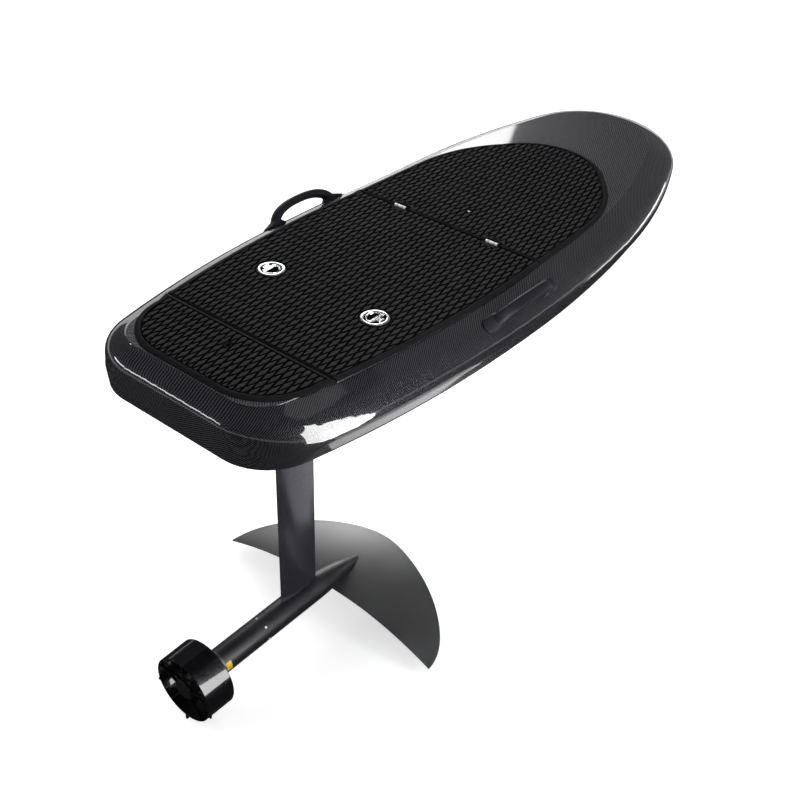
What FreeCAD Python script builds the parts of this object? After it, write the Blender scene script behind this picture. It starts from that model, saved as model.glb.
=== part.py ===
import FreeCAD, Part
import math
import os

import Sketcher

from FreeCAD import Placement, Rotation, Vector

# Electric hydrofoil surfboard: a decked carbon board with a battery hatch, a straight mast,
# a fuselage with a front wing, and a motor pod that drives a propeller inside a duct.
# +X points to the nose, +Y to port, +Z up. The origin is on the mast's centre axis at the
# waterplane of the board when it floats. Millimetres.

doc = FreeCAD.newDocument("hydrofoil_board")
os.makedirs("parts", exist_ok=True)

# Driving sizes: name, value, what it is
SIZES = [
    ("tail_x", -341.0, "tail face, along X"),
    ("nose_x", 1371.0, "nose tip, along X"),
    ("nose_narrow", 98.0, "plan radius of the nose, less than the widest half width"),
    ("nose_joint_slope", 0.43, "plan slope where the nose arc meets the fore quarter"),
    ("fore_x", 840.0, "station between fore quarter and waist"),
    ("fore_narrow", 20.0, "narrower there than at the waist, on each side"),
    ("waist_x", 250.0, "widest station"),
    ("waist_half_width", 348.0, "half width there"),
    ("aft_x", -166.0, "station ahead of the tail corners"),
    ("aft_narrow", 45.0, "narrower there than at the waist, on each side"),
    ("corner_round", 172.0, "plan radius of the tail corners"),
    ("deck_z", 90.0, "deck surface above the waterplane"),
    ("bottom_z", -24.0, "hull bottom below the waterplane"),
    ("deck_rise_round", 6208.0, "radius of the rise of the deck towards the nose"),
    ("bottom_rise_x", 480.0, "station where the bottom starts to rise"),
    ("bottom_rise_round", 4000.0, "radius of the rise of the bottom"),
    ("shoulder_in", 72.0, "flat deck edge, inboard of the widest line"),
    ("shoulder_drop", 1.2, "fall of the deck at that edge"),
    ("brow_in", 40.0, "middle of the shoulder, inboard"),
    ("brow_drop", 14.0, "its fall below the deck"),
    ("rail_top_in", 14.0, "top of the rail, inboard"),
    ("rail_top_drop", 31.0, "its fall below the deck"),
    ("rail_drop", 54.0, "widest line below the deck"),
    ("chine_in", 3.0, "chine, inboard of the widest line"),
    ("chine_drop", 80.0, "chine below the deck"),
    ("bottom_in", 19.0, "bottom edge, inboard of the widest line"),
    ("tail_shoulder_in", 42.0, "flat deck edge, ahead of the tail face"),
    ("tail_fall", 15.0, "extra fall of the shoulder at the tail"),
    ("tail_fall_x", 150.0, "station where that fall starts"),
    ("split_aft_x", -124.2, "rear end of the hatch"),
    ("split_fore_x", 526.7, "front end of the hatch, where it hinges"),
    ("pad_thick", 5.0, "deck pad"),
    ("pad_gap", 1.6, "gap between two pads"),
    ("pad_inset", 2.0, "pad edge inside the edge of what carries it"),
    ("rear_pad_tail", 46.0, "rear pad, ahead of the tail face"),
    ("rear_pad_round", 142.0, "plan radius of the rear pad's corners"),
    ("front_pad_nose_x", 980.0, "where the front pad's round tip starts"),
    ("front_pad_nose_in", 188.0, "that place, inboard of the widest half width"),
    ("front_pad_tip_long", 82.0, "length of the round tip"),
    ("front_pad_quarter_back", 100.0, "a point on its shoulder, behind the round tip"),
    ("front_pad_quarter_in", 117.0, "that point, inboard of the widest half width"),
    ("front_pad_turn_back", 220.0, "where it leaves the deck edge, behind the round tip"),
    ("lid_thick", 14.0, "hatch lid"),
    ("lid_gap", 1.5, "gap round the lid"),
    ("seal_play", 0.4, "lid above the ledge and the seal"),
    ("lid_rim_high", 6.0, "rim under the lid, inside the well"),
    ("lid_aft_in", 104.0, "lid edge at its rear end, inboard of the widest half width"),
    ("lid_mid_in", 70.0, "the same in the middle"),
    ("lid_fore_in", 73.0, "the same at its front end"),
    ("ledge_width", 36.0, "ledge that carries the lid"),
    ("well_depth", 92.0, "battery well below the deck"),
    ("seal_wide", 12.0, "rubber seal on the ledge"),
    ("seal_inset", 6.0, "seal outboard of the well's edge"),
    ("seal_groove", 3.0, "depth of its groove in the ledge"),
    ("battery_long", 400.0, "battery"),
    ("battery_side_gap", 43.0, "battery inside the well's side walls"),
    ("battery_high", 62.0, ""),
    ("battery_gap", 12.0, "battery behind the well's rear wall"),
    ("latch_x", 95.8, "latches"),
    ("latch_y", 150.3, ""),
    ("latch_radius", 31.0, ""),
    ("latch_proud", 1.5, "bezel above the pad"),
    ("latch_hole_radius", 31.5, "hole for a latch in the hatch pad"),
    ("latch_ring_thick", 3.2, ""),
    ("hinge_y", 137.0, "middle of each hinge"),
    ("hinge_long", 44.0, ""),
    ("knuckle_radius", 3.6, ""),
    ("pin_radius", 1.5, ""),
    ("hinge_play", 0.05, "pin clearance"),
    ("knuckle_gap", 0.5, "between knuckles"),
    ("leaf_long", 14.0, "hinge leaf"),
    ("leaf_thick", 1.6, ""),
    ("vent_x", -177.4, "leash plug in the rear pad"),
    ("vent_radius", 6.0, ""),
    ("plug_bore", 4.0, "bore of the leash plug"),
    ("plug_deep", 9.5, ""),
    ("plug_mouth", 3.5, "plug's mouth above the deck"),
    ("screw_x", 621.0, "deck screw in the front pad"),
    ("screw_radius", 5.0, ""),
    ("handle_x", 381.0, "carry handles"),
    ("handle_in", 28.0, "middle of a handle's seat, inboard of the widest half width"),
    ("handle_z", 66.0, ""),
    ("handle_tilt", 35.0, "outward tilt of the arch"),
    ("handle_foot_span", 100.0, "middle of each foot from the handle's middle"),
    ("handle_rise", 41.0, "middle of the grip above the seat"),
    ("handle_grip_half", 50.0, "half of the straight grip"),
    ("handle_radius", 12.5, "grip radius"),
    ("handle_bend", 34.0, "bend radius"),
    ("handle_foot_long", 64.0, "foot"),
    ("handle_foot_wide", 36.0, ""),
    ("handle_foot_thick", 7.0, "foot above the hull's skin"),
    ("mast_chord", 122.0, "mast"),
    ("mast_thick", 16.0, ""),
    ("mast_nose", 3.5, "radius of its leading edge"),
    ("mast_plate_long", 190.0, "plate under the hull"),
    ("mast_plate_wide", 110.0, ""),
    ("mast_plate_thick", 9.0, ""),
    ("mast_plate_round", 22.0, ""),
    ("mast_bolt_x", 75.0, "bolts of that plate"),
    ("mast_bolt_y", 38.0, ""),
    ("mast_bolt_radius", 6.5, ""),
    ("mast_bolt_high", 3.5, ""),
    ("fuselage_z", -755.0, "fuselage axis"),
    ("tube_radius", 33.5, "fuselage tube"),
    ("pod_seam_x", -110.0, "joint between motor pod and fuselage"),
    ("pod_front_x", -295.0, "rear end of the pod's tube"),
    ("taper_x", 65.0, "start of the fuselage's taper"),
    ("taper_mid_x", 145.0, "middle of the taper"),
    ("taper_mid_radius", 25.0, ""),
    ("taper_mid_fall", 7.0, ""),
    ("taper_tip_x", 224.0, "tip of the taper, on the wing"),
    ("taper_tip_radius", 9.0, ""),
    ("taper_tip_fall", 19.5, ""),
    ("seam_groove", 0.8, "groove at the pod's joint"),
    ("duct_rear_x", -384.0, "duct"),
    ("duct_front_x", -306.0, ""),
    ("duct_radius", 87.5, ""),
    ("duct_wall", 4.0, ""),
    ("collar_radius", 38.0, "collar on the pod"),
    ("collar_front_x", -278.0, ""),
    ("collar_rear_x", -312.0, ""),
    ("ring_play", 0.1, "strut and vane ends inside the ring"),
    ("strut_thick", 4.0, "struts between collar and duct"),
    ("strut_count", 5.0, ""),
    ("spider_radius", 27.0, "rear hub cap of the duct"),
    ("spider_thick", 8.0, ""),
    ("vane_thick", 3.0, "slim vanes between hub cap and duct"),
    ("vane_chord", 10.0, ""),
    ("vane_count", 5.0, ""),
    ("fin_long", 26.0, "fin under the duct"),
    ("fin_high", 14.0, ""),
    ("fin_thick", 5.0, ""),
    ("tab_long", 9.0, "tabs on the duct's rear edge"),
    ("tab_high", 6.0, ""),
    ("tab_angle", 72.0, "tabs, from straight down"),
    ("prop_front_x", -318.0, "propeller"),
    ("prop_rear_x", -364.0, ""),
    ("prop_radius", 78.0, ""),
    ("prop_hub_radius", 26.0, ""),
    ("blade_count", 3.0, ""),
    ("blade_root_chord", 34.0, ""),
    ("blade_tip_chord", 42.0, ""),
    ("blade_root_angle", 52.0, "from the plane of rotation"),
    ("blade_tip_angle", 24.0, ""),
    ("blade_thick", 4.0, ""),
    ("shaft_radius", 6.0, "motor shaft"),
    ("shaft_play", 0.05, "shaft clearance in its bearings"),
    ("shaft_room", 2.0, "shaft clearance in the collar's bulkhead"),
    ("shaft_front_x", -282.0, ""),
    ("shaft_rear_x", -380.5, ""),
    ("wing_half_span", 346.0, "front wing"),
    ("wing_root_fore_x", 338.0, "leading edge at the root"),
    ("wing_root_aft_x", 99.0, "trailing edge at the root"),
    ("wing_root_z", -777.0, "chord line at the root"),
    ("wing_tip_z", -836.0, "chord line at the tip"),
    ("wing_root_thick", 21.0, ""),
    ("wing_edge_thick", 1.6, ""),
    ("wing_tip_x", 104.0, "leading edge at the tip"),
    ("wing_tip_chord", 9.0, ""),
    ("wing_tip_thick", 4.0, ""),
    ("wing_sweep_power", 1.6, "how late the leading edge sweeps back"),
    ("wing_sweep_round", 0.57, "how round it turns in at the tip"),
    ("wing_aft_bow", 3.0, "bow of the trailing edge"),
]

# Sizes that follow from them: name, formula, what it is
FOLLOWING = [
    ("nose_round", "waist_half_width - nose_narrow", "plan radius of the nose"),
    ("fore_half_width", "waist_half_width - fore_narrow", "half width at the fore station"),
    ("aft_half_width", "waist_half_width - aft_narrow", "half width ahead of the tail corners"),
    ("lid_half_aft", "waist_half_width - lid_aft_in", "lid half width at its rear end"),
    ("lid_half_mid", "waist_half_width - lid_mid_in", "lid half width in the middle"),
    ("lid_half_fore", "waist_half_width - lid_fore_in", "lid half width at its front end"),
    ("deck_rise_x", "split_fore_x + leaf_long + 2", "station where the deck starts to rise"),
    ("front_pad_nose_y", "waist_half_width - front_pad_nose_in", "where the round tip starts"),
    ("front_pad_tip", "front_pad_nose_x + front_pad_tip_long", "front pad's forward tip"),
    ("front_pad_quarter_x", "front_pad_nose_x - front_pad_quarter_back", "a point on its shoulder"),
    ("front_pad_quarter_y", "waist_half_width - front_pad_quarter_in", ""),
    ("front_pad_turn_x", "front_pad_nose_x - front_pad_turn_back", "where it leaves the deck edge"),
    ("well_half_width", "waist_half_width - lid_aft_in - ledge_width", "battery well"),
    ("battery_wide", "2 * (well_half_width - battery_side_gap)", "battery"),
    ("handle_y", "waist_half_width - handle_in", "middle of a handle's seat"),
]

sheet = doc.addObject("Spreadsheet::Sheet", "Sizes")
for row, (alias, value, note) in enumerate(SIZES, start=1):
    sheet.set("A%d" % row, alias)
    sheet.set("B%d" % row, str(value))
    sheet.set("C%d" % row, note)
    sheet.setAlias("B%d" % row, alias)
for row, (alias, formula, note) in enumerate(FOLLOWING, start=len(SIZES) + 1):
    sheet.set("A%d" % row, alias)
    sheet.set("B%d" % row, "=" + formula)
    sheet.set("C%d" % row, note)
    sheet.setAlias("B%d" % row, alias)
doc.recompute()


def size(alias):
    return float(getattr(sheet, alias))


def cell(alias):
    return "Sizes." + alias


# Helpers for bodies, sketches and features


def new_body(label):
    body = doc.addObject("PartDesign::Body", label)
    body.Label = label
    return body


def plane_of(body, role):
    for item in body.Origin.OriginFeatures:
        if item.Role == role:
            return item


def new_sketch(body, name, role="XY_Plane", offset=(0, 0, 0), turn=0.0):
    sketch = body.newObject("Sketcher::SketchObject", name)
    sketch.AttachmentSupport = [(plane_of(body, role), "")]
    sketch.MapMode = "FlatFace"
    sketch.AttachmentOffset = Placement(Vector(*offset), Rotation(Vector(0, 0, 1), turn))
    return sketch


def flat(point):
    return Vector(point[0], point[1], 0)


def draw(sketch, pieces):
    """Draws a closed chain of lines (two points) and arcs (three points)."""
    first = sketch.GeometryCount
    for points in pieces:
        spots = [flat(point) for point in points]
        if len(spots) == 2:
            sketch.addGeometry(Part.LineSegment(*spots), False)
        else:
            sketch.addGeometry(Part.Arc(*spots), False)
    return first


def polygon(points):
    return [(points[i], points[(i + 1) % len(points)]) for i in range(len(points))]


def draw_circle(sketch, centre, alias, name):
    """A circle whose radius is bound to a named size."""
    index = sketch.addGeometry(Part.Circle(flat(centre), Vector(0, 0, 1), size(alias)), False)
    row = sketch.addConstraint(Sketcher.Constraint("Radius", index, size(alias)))
    sketch.renameConstraint(row, name)
    sketch.setExpression("Constraints." + name, cell(alias))
    return index


def pad(body, sketch, name, expression, midplane=False, downward=False):
    feature = body.newObject("PartDesign::Pad", name)
    feature.Profile = sketch
    feature.setExpression("Length", expression)
    feature.Midplane = midplane
    feature.Reversed = downward
    return feature


def pocket(body, sketch, name, expression, upward=False):
    feature = body.newObject("PartDesign::Pocket", name)
    feature.Profile = sketch
    feature.setExpression("Length", expression)
    feature.Reversed = upward
    return feature


def revolve(body, sketch, name, axis="H_Axis"):
    feature = body.newObject("PartDesign::Revolution", name)
    feature.Profile = sketch
    feature.ReferenceAxis = (sketch, [axis])
    feature.Angle = 360.0
    return feature


def repeat_round(body, feature, name, sketch, alias, axis="H_Axis"):
    pattern = body.newObject("PartDesign::PolarPattern", name)
    pattern.Originals = [feature]
    pattern.Axis = (sketch, [axis])
    pattern.Angle = 360.0
    pattern.Occurrences = int(round(size(alias)))
    pattern.setExpression("Occurrences", cell(alias))
    body.Tip = pattern
    return pattern


def feature_of(label, shape):
    item = doc.addObject("Part::Feature", label)
    item.Label = label
    item.Shape = shape
    return item


def turned(axis, degrees, place):
    return Placement(Vector(*place), Rotation(Vector(*axis), degrees))


NODES = []


def keep(item):
    NODES.append(item)
    return item


# Plan outline of the board: the arcs of one side, from the nose aft


def tangent_arc(start, inward, through):
    """Centre and radius of the arc that leaves start with its centre along inward."""
    chord = (through[0] - start[0], through[1] - start[1])
    reach = chord[0] * inward[0] + chord[1] * inward[1]
    radius = (chord[0] ** 2 + chord[1] ** 2) / (2.0 * reach)
    return (start[0] + radius * inward[0], start[1] + radius * inward[1]), radius


def inward_at(centre, point):
    reach = math.hypot(centre[0] - point[0], centre[1] - point[1])
    return ((centre[0] - point[0]) / reach, (centre[1] - point[1]) / reach)


nose_centre = (size("nose_x") - size("nose_round"), 0.0)
joint_angle = math.atan(size("nose_joint_slope"))
nose_joint = (
    nose_centre[0] + size("nose_round") * math.sin(joint_angle),
    size("nose_round") * math.cos(joint_angle),
)
fore_point = (size("fore_x"), size("fore_half_width"))
waist_point = (size("waist_x"), size("waist_half_width"))
aft_point = (size("aft_x"), size("aft_half_width"))
fore_centre, fore_radius = tangent_arc(nose_joint, inward_at(nose_centre, nose_joint), fore_point)
waist_centre, waist_radius = tangent_arc(fore_point, inward_at(fore_centre, fore_point), waist_point)
aft_centre, aft_radius = tangent_arc(waist_point, inward_at(waist_centre, waist_point), aft_point)


def on_circle(centre, radius, x):
    return (x, centre[1] + math.sqrt(radius ** 2 - (x - centre[0]) ** 2))


def inset(centre, point, amount):
    inward = inward_at(centre, point)
    return (point[0] + amount * inward[0], point[1] + amount * inward[1])


def half_outline(amount, tail_in, corner):
    """One side's arcs, moved inboard by amount, from the tail line to the nose joint."""
    tail = size("tail_x") + tail_in
    side = aft_radius - amount
    corner_x = tail + corner
    corner_y = aft_centre[1] + math.sqrt((side - corner) ** 2 - (corner_x - aft_centre[0]) ** 2)
    middle = (corner_x, corner_y)
    away = inward_at(aft_centre, middle)
    meet = (middle[0] - corner * away[0], middle[1] - corner * away[1])
    start = (tail, corner_y)
    half = 0.5 * (math.pi + math.atan2(-away[1], -away[0]))
    bend = (middle[0] + corner * math.cos(half), middle[1] + corner * math.sin(half))
    waist = inset(waist_centre, waist_point, amount)
    hinge = on_circle(waist_centre, waist_radius - amount, size("deck_rise_x"))
    fore = inset(fore_centre, fore_point, amount)
    joint = inset(nose_centre, nose_joint, amount)
    middle_aft = on_circle(aft_centre, side, 0.5 * (meet[0] + waist[0]))
    middle_waist = on_circle(waist_centre, waist_radius - amount, 0.5 * (waist[0] + hinge[0]))
    middle_rise = on_circle(waist_centre, waist_radius - amount, 0.5 * (hinge[0] + fore[0]))
    middle_fore = on_circle(fore_centre, fore_radius - amount, 0.5 * (fore[0] + joint[0]))
    return [
        (start, bend, meet),
        (meet, middle_aft, waist),
        (waist, middle_waist, hinge),
        (hinge, middle_rise, fore),
        (fore, middle_fore, joint),
    ]


def mirrored(point):
    return (point[0], -point[1])


def full_outline(amount, tail_in, corner):
    """The whole outline as one closed chain of lines and arcs."""
    side = half_outline(amount, tail_in, corner)
    tip = (size("nose_x") - amount, 0.0)
    chain = list(side)
    chain.append((side[-1][-1], tip, mirrored(side[-1][-1])))
    for points in reversed(side):
        chain.append(tuple(mirrored(point) for point in reversed(points)))
    chain.append((mirrored(side[0][0]), side[0][0]))
    return chain


# Rise of deck and bottom towards the nose


def deck_rise(x):
    ahead = max(x - size("deck_rise_x"), 0.0)
    return ahead ** 2 / (2.0 * size("deck_rise_round"))


def bottom_rise(x):
    ahead = max(x - size("bottom_rise_x"), 0.0)
    return ahead ** 2 / (2.0 * size("bottom_rise_round"))


def tail_fall(x):
    behind = max(size("tail_fall_x") - x, 0.0) / (size("tail_fall_x") - size("tail_x"))
    return size("tail_fall") * behind ** 2


def level_wire(chain, drop, share, aft):
    """The outline at a depth below the deck; share follows the bottom's rise, aft the tail's fall."""
    edges = []
    for points in chain:
        spots = []
        for x, y in points:
            rise = share * bottom_rise(x) + (1.0 - share) * deck_rise(x) - aft * tail_fall(x)
            spots.append(Vector(x, y, size("deck_z") - drop + rise))
        if len(spots) == 2:
            edges.append(Part.LineSegment(*spots).toShape())
        else:
            edges.append(Part.Arc(*spots).toShape())
    return Part.Wire(edges)


def level_flat(chain, z):
    edges = []
    for points in chain:
        spots = [Vector(x, y, z) for x, y in points]
        if len(spots) == 2:
            edges.append(Part.LineSegment(*spots).toShape())
        else:
            edges.append(Part.Arc(*spots).toShape())
    return Part.Wire(edges)


def side_profile():
    """Side view of the board as a face: level deck and bottom, both rising to the nose."""
    far = size("nose_x") + 100.0
    near = size("tail_x") - 100.0
    deck = size("deck_z")
    bottom = size("bottom_z")

    def deck_spot(x):
        return Vector(x, 0, deck + deck_rise(x))

    def bottom_spot(x):
        return Vector(x, 0, bottom + bottom_rise(x))

    split = size("deck_rise_x")
    start = size("bottom_rise_x")
    edges = [
        Part.LineSegment(Vector(near, 0, bottom), Vector(near, 0, deck)).toShape(),
        Part.LineSegment(Vector(near, 0, deck), deck_spot(split)).toShape(),
        Part.Arc(deck_spot(split), deck_spot(0.5 * (split + far)), deck_spot(far)).toShape(),
        Part.LineSegment(deck_spot(far), bottom_spot(far)).toShape(),
        Part.Arc(bottom_spot(far), bottom_spot(0.5 * (start + far)), bottom_spot(start)).toShape(),
        Part.LineSegment(bottom_spot(start), Vector(near, 0, bottom)).toShape(),
    ]
    return Part.Face(Part.Wire(edges))


# Levels of the hull's skin: inboard, ahead of the tail face, corner radius, drop, share of the
# bottom's rise, share of the tail's fall
thickness = size("deck_z") - size("bottom_z")
LEVELS = [
    ("deck edge", "shoulder_in", size("tail_shoulder_in"), 84.0, size("shoulder_drop"), 0.0, 0.05),
    ("brow", "brow_in", 19.0, 124.0, size("brow_drop"), 0.0, 0.3),
    ("rail top", "rail_top_in", 3.0, 152.0, size("rail_top_drop"), 0.05, 0.35),
    ("widest", None, 0.0, size("corner_round"), size("rail_drop"), 0.25, 0.2),
    ("chine", "chine_in", 1.0, 156.0, size("chine_drop"), 0.5, 0.0),
    ("bottom edge", "bottom_in", 4.0, 128.0, thickness - 3.0, 1.0, 0.0),
]


def hull_skin():
    chains = []
    for name, alias, tail_in, corner, drop, share, aft in LEVELS:
        amount = size(alias) if alias else 0.0
        chains.append((full_outline(amount, tail_in, corner), drop, share, aft))
    upper = [level_wire(*row) for row in chains[:5]]
    lower = [level_wire(*chains[4]), level_wire(*chains[5])]
    roof = level_flat(chains[0][0], size("deck_z") + 200.0)
    keel = level_flat(chains[5][0], size("bottom_z") - 30.0)
    faces = []
    faces += Part.makeLoft(upper, False, False).Faces
    faces += Part.makeLoft(lower, False, True).Faces
    faces += Part.makeLoft([roof, upper[0]], False, True).Faces
    faces += Part.makeLoft([lower[-1], keel], False, True).Faces
    faces += [Part.Face(roof), Part.Face(keel)]
    shell = Part.makeShell(faces)
    shell.sewShape()
    block = Part.makeSolid(Part.Shell(shell.Faces))
    if block.Volume < 0:
        block.reverse()
    width = 2.0 * size("waist_half_width") + 100.0
    profile = side_profile()
    profile.translate(Vector(0, -width / 2.0, 0))
    return block.common(profile.extrude(Vector(0, width, 0)))


# Outlines of the hatch lid and of the pads


def lid_outline(gap):
    """The hatch lid's plan, made smaller by gap on every side."""
    aft = size("split_aft_x") + gap
    fore = size("split_fore_x") - gap
    middle = 0.5 * (aft + fore)
    aft_y = size("lid_half_aft") - gap
    mid_y = size("lid_half_mid") - gap
    fore_y = size("lid_half_fore") - gap
    return [
        ((aft, -aft_y), (aft, aft_y)),
        ((aft, aft_y), (middle, mid_y), (fore, fore_y)),
        ((fore, fore_y), (fore, -fore_y)),
        ((fore, -fore_y), (middle, -mid_y), (aft, -aft_y)),
    ]


def rear_pad_outline():
    gap = size("pad_gap")
    inner = size("pad_inset")
    fore = size("split_aft_x") - gap
    tail = size("tail_x") + size("rear_pad_tail")
    corner = size("rear_pad_round")
    fore_y = size("lid_half_aft") - inner
    start = (tail, fore_y - corner - 8.0)
    meet = (tail + corner, fore_y - 8.0)
    bend = (tail + corner * (1.0 - math.cos(math.pi / 4)), start[1] + corner * math.sin(math.pi / 4))
    return [
        ((fore, -fore_y), (fore, fore_y)),
        ((fore, fore_y), meet),
        (meet, bend, start),
        (start, mirrored(start)),
        (mirrored(start), mirrored(bend), mirrored(meet)),
        (mirrored(meet), (fore, -fore_y)),
    ]


def front_pad_outline():
    """From the split forward along the deck edge, then round the tip in one arc."""
    gap = size("pad_gap")
    inner = size("pad_inset")
    aft = size("split_fore_x") + gap
    aft_y = size("lid_half_fore") - inner
    amount = size("shoulder_in") + 1.0
    turn = on_circle(waist_centre, waist_radius - amount, size("front_pad_turn_x"))
    tip = (size("front_pad_tip"), 0.0)
    quarter_x = size("front_pad_quarter_x")
    quarter_y = size("front_pad_quarter_y")
    middle = (0.5 * (aft + turn[0]), 0.5 * (aft_y + turn[1]) + 1.5)
    return [
        ((aft, -aft_y), (aft, aft_y)),
        ((aft, aft_y), middle, turn),
        (turn, (quarter_x, quarter_y), (size("front_pad_nose_x"), size("front_pad_nose_y"))),
        (
            (size("front_pad_nose_x"), size("front_pad_nose_y")),
            tip,
            (size("front_pad_nose_x"), -size("front_pad_nose_y")),
        ),
        ((size("front_pad_nose_x"), -size("front_pad_nose_y")), (quarter_x, -quarter_y), mirrored(turn)),
        (mirrored(turn), mirrored(middle), (aft, -aft_y)),
    ]


# Hull: the skin with the hatch recess, the battery well, and the holes of its fittings


def box(name, low, high):
    """A box between two corners, each coordinate an expression in named sizes."""
    item = doc.addObject("Part::Box", name)
    for axis, start, end in zip("xyz", low, high):
        item.setExpression("Placement.Base." + axis, start)
    item.setExpression("Length", "(%s) - (%s)" % (high[0], low[0]))
    item.setExpression("Width", "(%s) - (%s)" % (high[1], low[1]))
    item.setExpression("Height", "(%s) - (%s)" % (high[2], low[2]))
    return item


def cylinder(name, radius, height, place, axis=(0, 0, 1), turn=0.0):
    item = doc.addObject("Part::Cylinder", name)
    item.setExpression("Radius", radius)
    item.setExpression("Height", height)
    item.Placement = turned(axis, turn, (0, 0, 0))
    for letter, value in zip("xyz", place):
        item.setExpression("Placement.Base." + letter, value)
    return item


def fuse(name, items):
    item = doc.addObject("Part::MultiFuse", name)
    item.Shapes = items
    item.Label = name
    return item


def cut(name, base, tool):
    item = doc.addObject("Part::Cut", name)
    item.Base = base
    item.Tool = tool
    item.Label = name
    return item


skin = feature_of("hull_skin", hull_skin())

recess = new_body("hatch_recess")
recess_sketch = new_sketch(recess, "recess_outline")
draw(recess_sketch, lid_outline(0.0))
recess_pad = pad(recess, recess_sketch, "recess_depth", "Sizes.lid_thick + 60")
recess.Placement = turned((0, 0, 1), 0, (0, 0, size("deck_z") - size("lid_thick")))

WELL = {
    "aft": "(Sizes.split_aft_x + Sizes.ledge_width)",
    "fore": "(Sizes.split_fore_x - Sizes.ledge_width)",
    "half": "Sizes.well_half_width",
    "floor": "(Sizes.deck_z - Sizes.well_depth)",
}
well = box(
    "battery_well",
    (WELL["aft"], "-" + WELL["half"], WELL["floor"]),
    (WELL["fore"], WELL["half"], "Sizes.deck_z"),
)
vent_hole = cylinder("vent_hole", "Sizes.vent_radius", "40", ("Sizes.vent_x", "0", "Sizes.deck_z - 20"))
screw_hole = cylinder("screw_hole", "Sizes.screw_radius", "40", ("Sizes.screw_x", "0", "Sizes.deck_z - 16"))
HULL_TOOLS = [recess, well, vent_hole, screw_hole]

# Deck pads


def flat_pad(label, outline, holes):
    body = new_body(label)
    sketch = new_sketch(body, label + "_outline")
    draw(sketch, outline)
    for index, (centre, alias) in enumerate(holes):
        draw_circle(sketch, centre, alias, "hole%d" % index)
    pad(body, sketch, label + "_sheet", cell("pad_thick"))
    body.Placement = turned((0, 0, 1), 0, (0, 0, size("deck_z")))
    return body


keep(flat_pad("rear_pad", rear_pad_outline(), [((size("vent_x"), 0), "vent_radius")]))

hinge_notches = []
for side in (-1, 1):
    notch_low = "%d * Sizes.hinge_y - Sizes.hinge_long / 2 - 1" % side
    notch_high = "%d * Sizes.hinge_y + Sizes.hinge_long / 2 + 1" % side
    hinge_notches.append(
        box(
            "hinge_notch_%s" % ("starboard" if side < 0 else "port"),
            ("Sizes.split_fore_x - Sizes.leaf_long - 1", notch_low, "Sizes.deck_z - 0.01"),
            ("Sizes.split_fore_x + Sizes.leaf_long + 1", notch_high, "Sizes.deck_z + 40"),
        )
    )

# The front pad follows the rise of the deck: a tall blank between two copies of the side profile


def front_pad_blank():
    outline = level_flat(front_pad_outline(), size("deck_z") - 5.0)
    block = Part.Face(outline).extrude(Vector(0, 0, 120.0))
    width = 1200.0
    under = side_profile()
    under.translate(Vector(0, -width / 2.0, 0))
    under = under.extrude(Vector(0, width, 0))
    over = under.copy()
    over.translate(Vector(0, 0, size("pad_thick")))
    return block.common(over).cut(under)


front_blank = feature_of("front_pad_sheet", front_pad_blank())
pad_screw_hole = cylinder(
    "pad_screw_hole", "Sizes.screw_radius", "60", ("Sizes.screw_x", "0", "Sizes.deck_z - 16")
)
front_holes = fuse("front_pad_holes", hinge_notches + [pad_screw_hole])
keep(cut("front_pad", front_blank, front_holes))

# Hatch: lid, its pad, latches and hinge leaves

lid = new_body("hatch_lid")
lid_sketch = new_sketch(lid, "lid_outline")
draw(lid_sketch, lid_outline(size("lid_gap")))
pad(lid, lid_sketch, "lid_sheet", "Sizes.lid_thick - Sizes.seal_play")
rib_sketch = new_sketch(lid, "lid_rim")
rim_out = size("ledge_width") + 4.0
rim_in = rim_out + 6.0


def rim_rectangle(amount):
    low_x = size("split_aft_x") + amount
    high_x = size("split_fore_x") - amount
    high_y = size("lid_half_aft") - amount
    return polygon([(low_x, -high_y), (high_x, -high_y), (high_x, high_y), (low_x, high_y)])


draw(rib_sketch, rim_rectangle(rim_out))
draw(rib_sketch, rim_rectangle(rim_in))
pad(lid, rib_sketch, "lid_rim_pad", cell("lid_rim_high"), downward=True)
lid.Placement = turned((0, 0, 1), 0, (0, 0, size("deck_z") - size("lid_thick") + size("seal_play")))
keep(lid)

hatch_pad = new_body("hatch_pad")
hatch_sketch = new_sketch(hatch_pad, "hatch_pad_outline")
draw(hatch_sketch, lid_outline(size("pad_inset")))
for index, side in enumerate((-1, 1)):
    draw_circle(hatch_sketch, (size("latch_x"), side * size("latch_y")), "latch_hole_radius", "hole%d" % index)
pad(hatch_pad, hatch_sketch, "hatch_pad_sheet", cell("pad_thick"))
notch_sketch = new_sketch(hatch_pad, "hatch_pad_notches", offset=(0, 0, size("pad_thick")))
for side in (-1, 1):
    low_y = side * size("hinge_y") - size("hinge_long") / 2.0 - 1.0
    high_y = side * size("hinge_y") + size("hinge_long") / 2.0 + 1.0
    low_x = size("split_fore_x") - size("leaf_long") - 1.0
    high_x = size("split_fore_x") + 5.0
    draw(notch_sketch, polygon([(low_x, low_y), (high_x, low_y), (high_x, high_y), (low_x, high_y)]))
pocket(hatch_pad, notch_sketch, "hatch_pad_notch", "Sizes.pad_thick + 5")
hatch_pad.Placement = turned((0, 0, 1), 0, (0, 0, size("deck_z")))
keep(hatch_pad)

# Latch: a dished bezel in the pad's hole, with a folding ring handle in the dish


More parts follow.
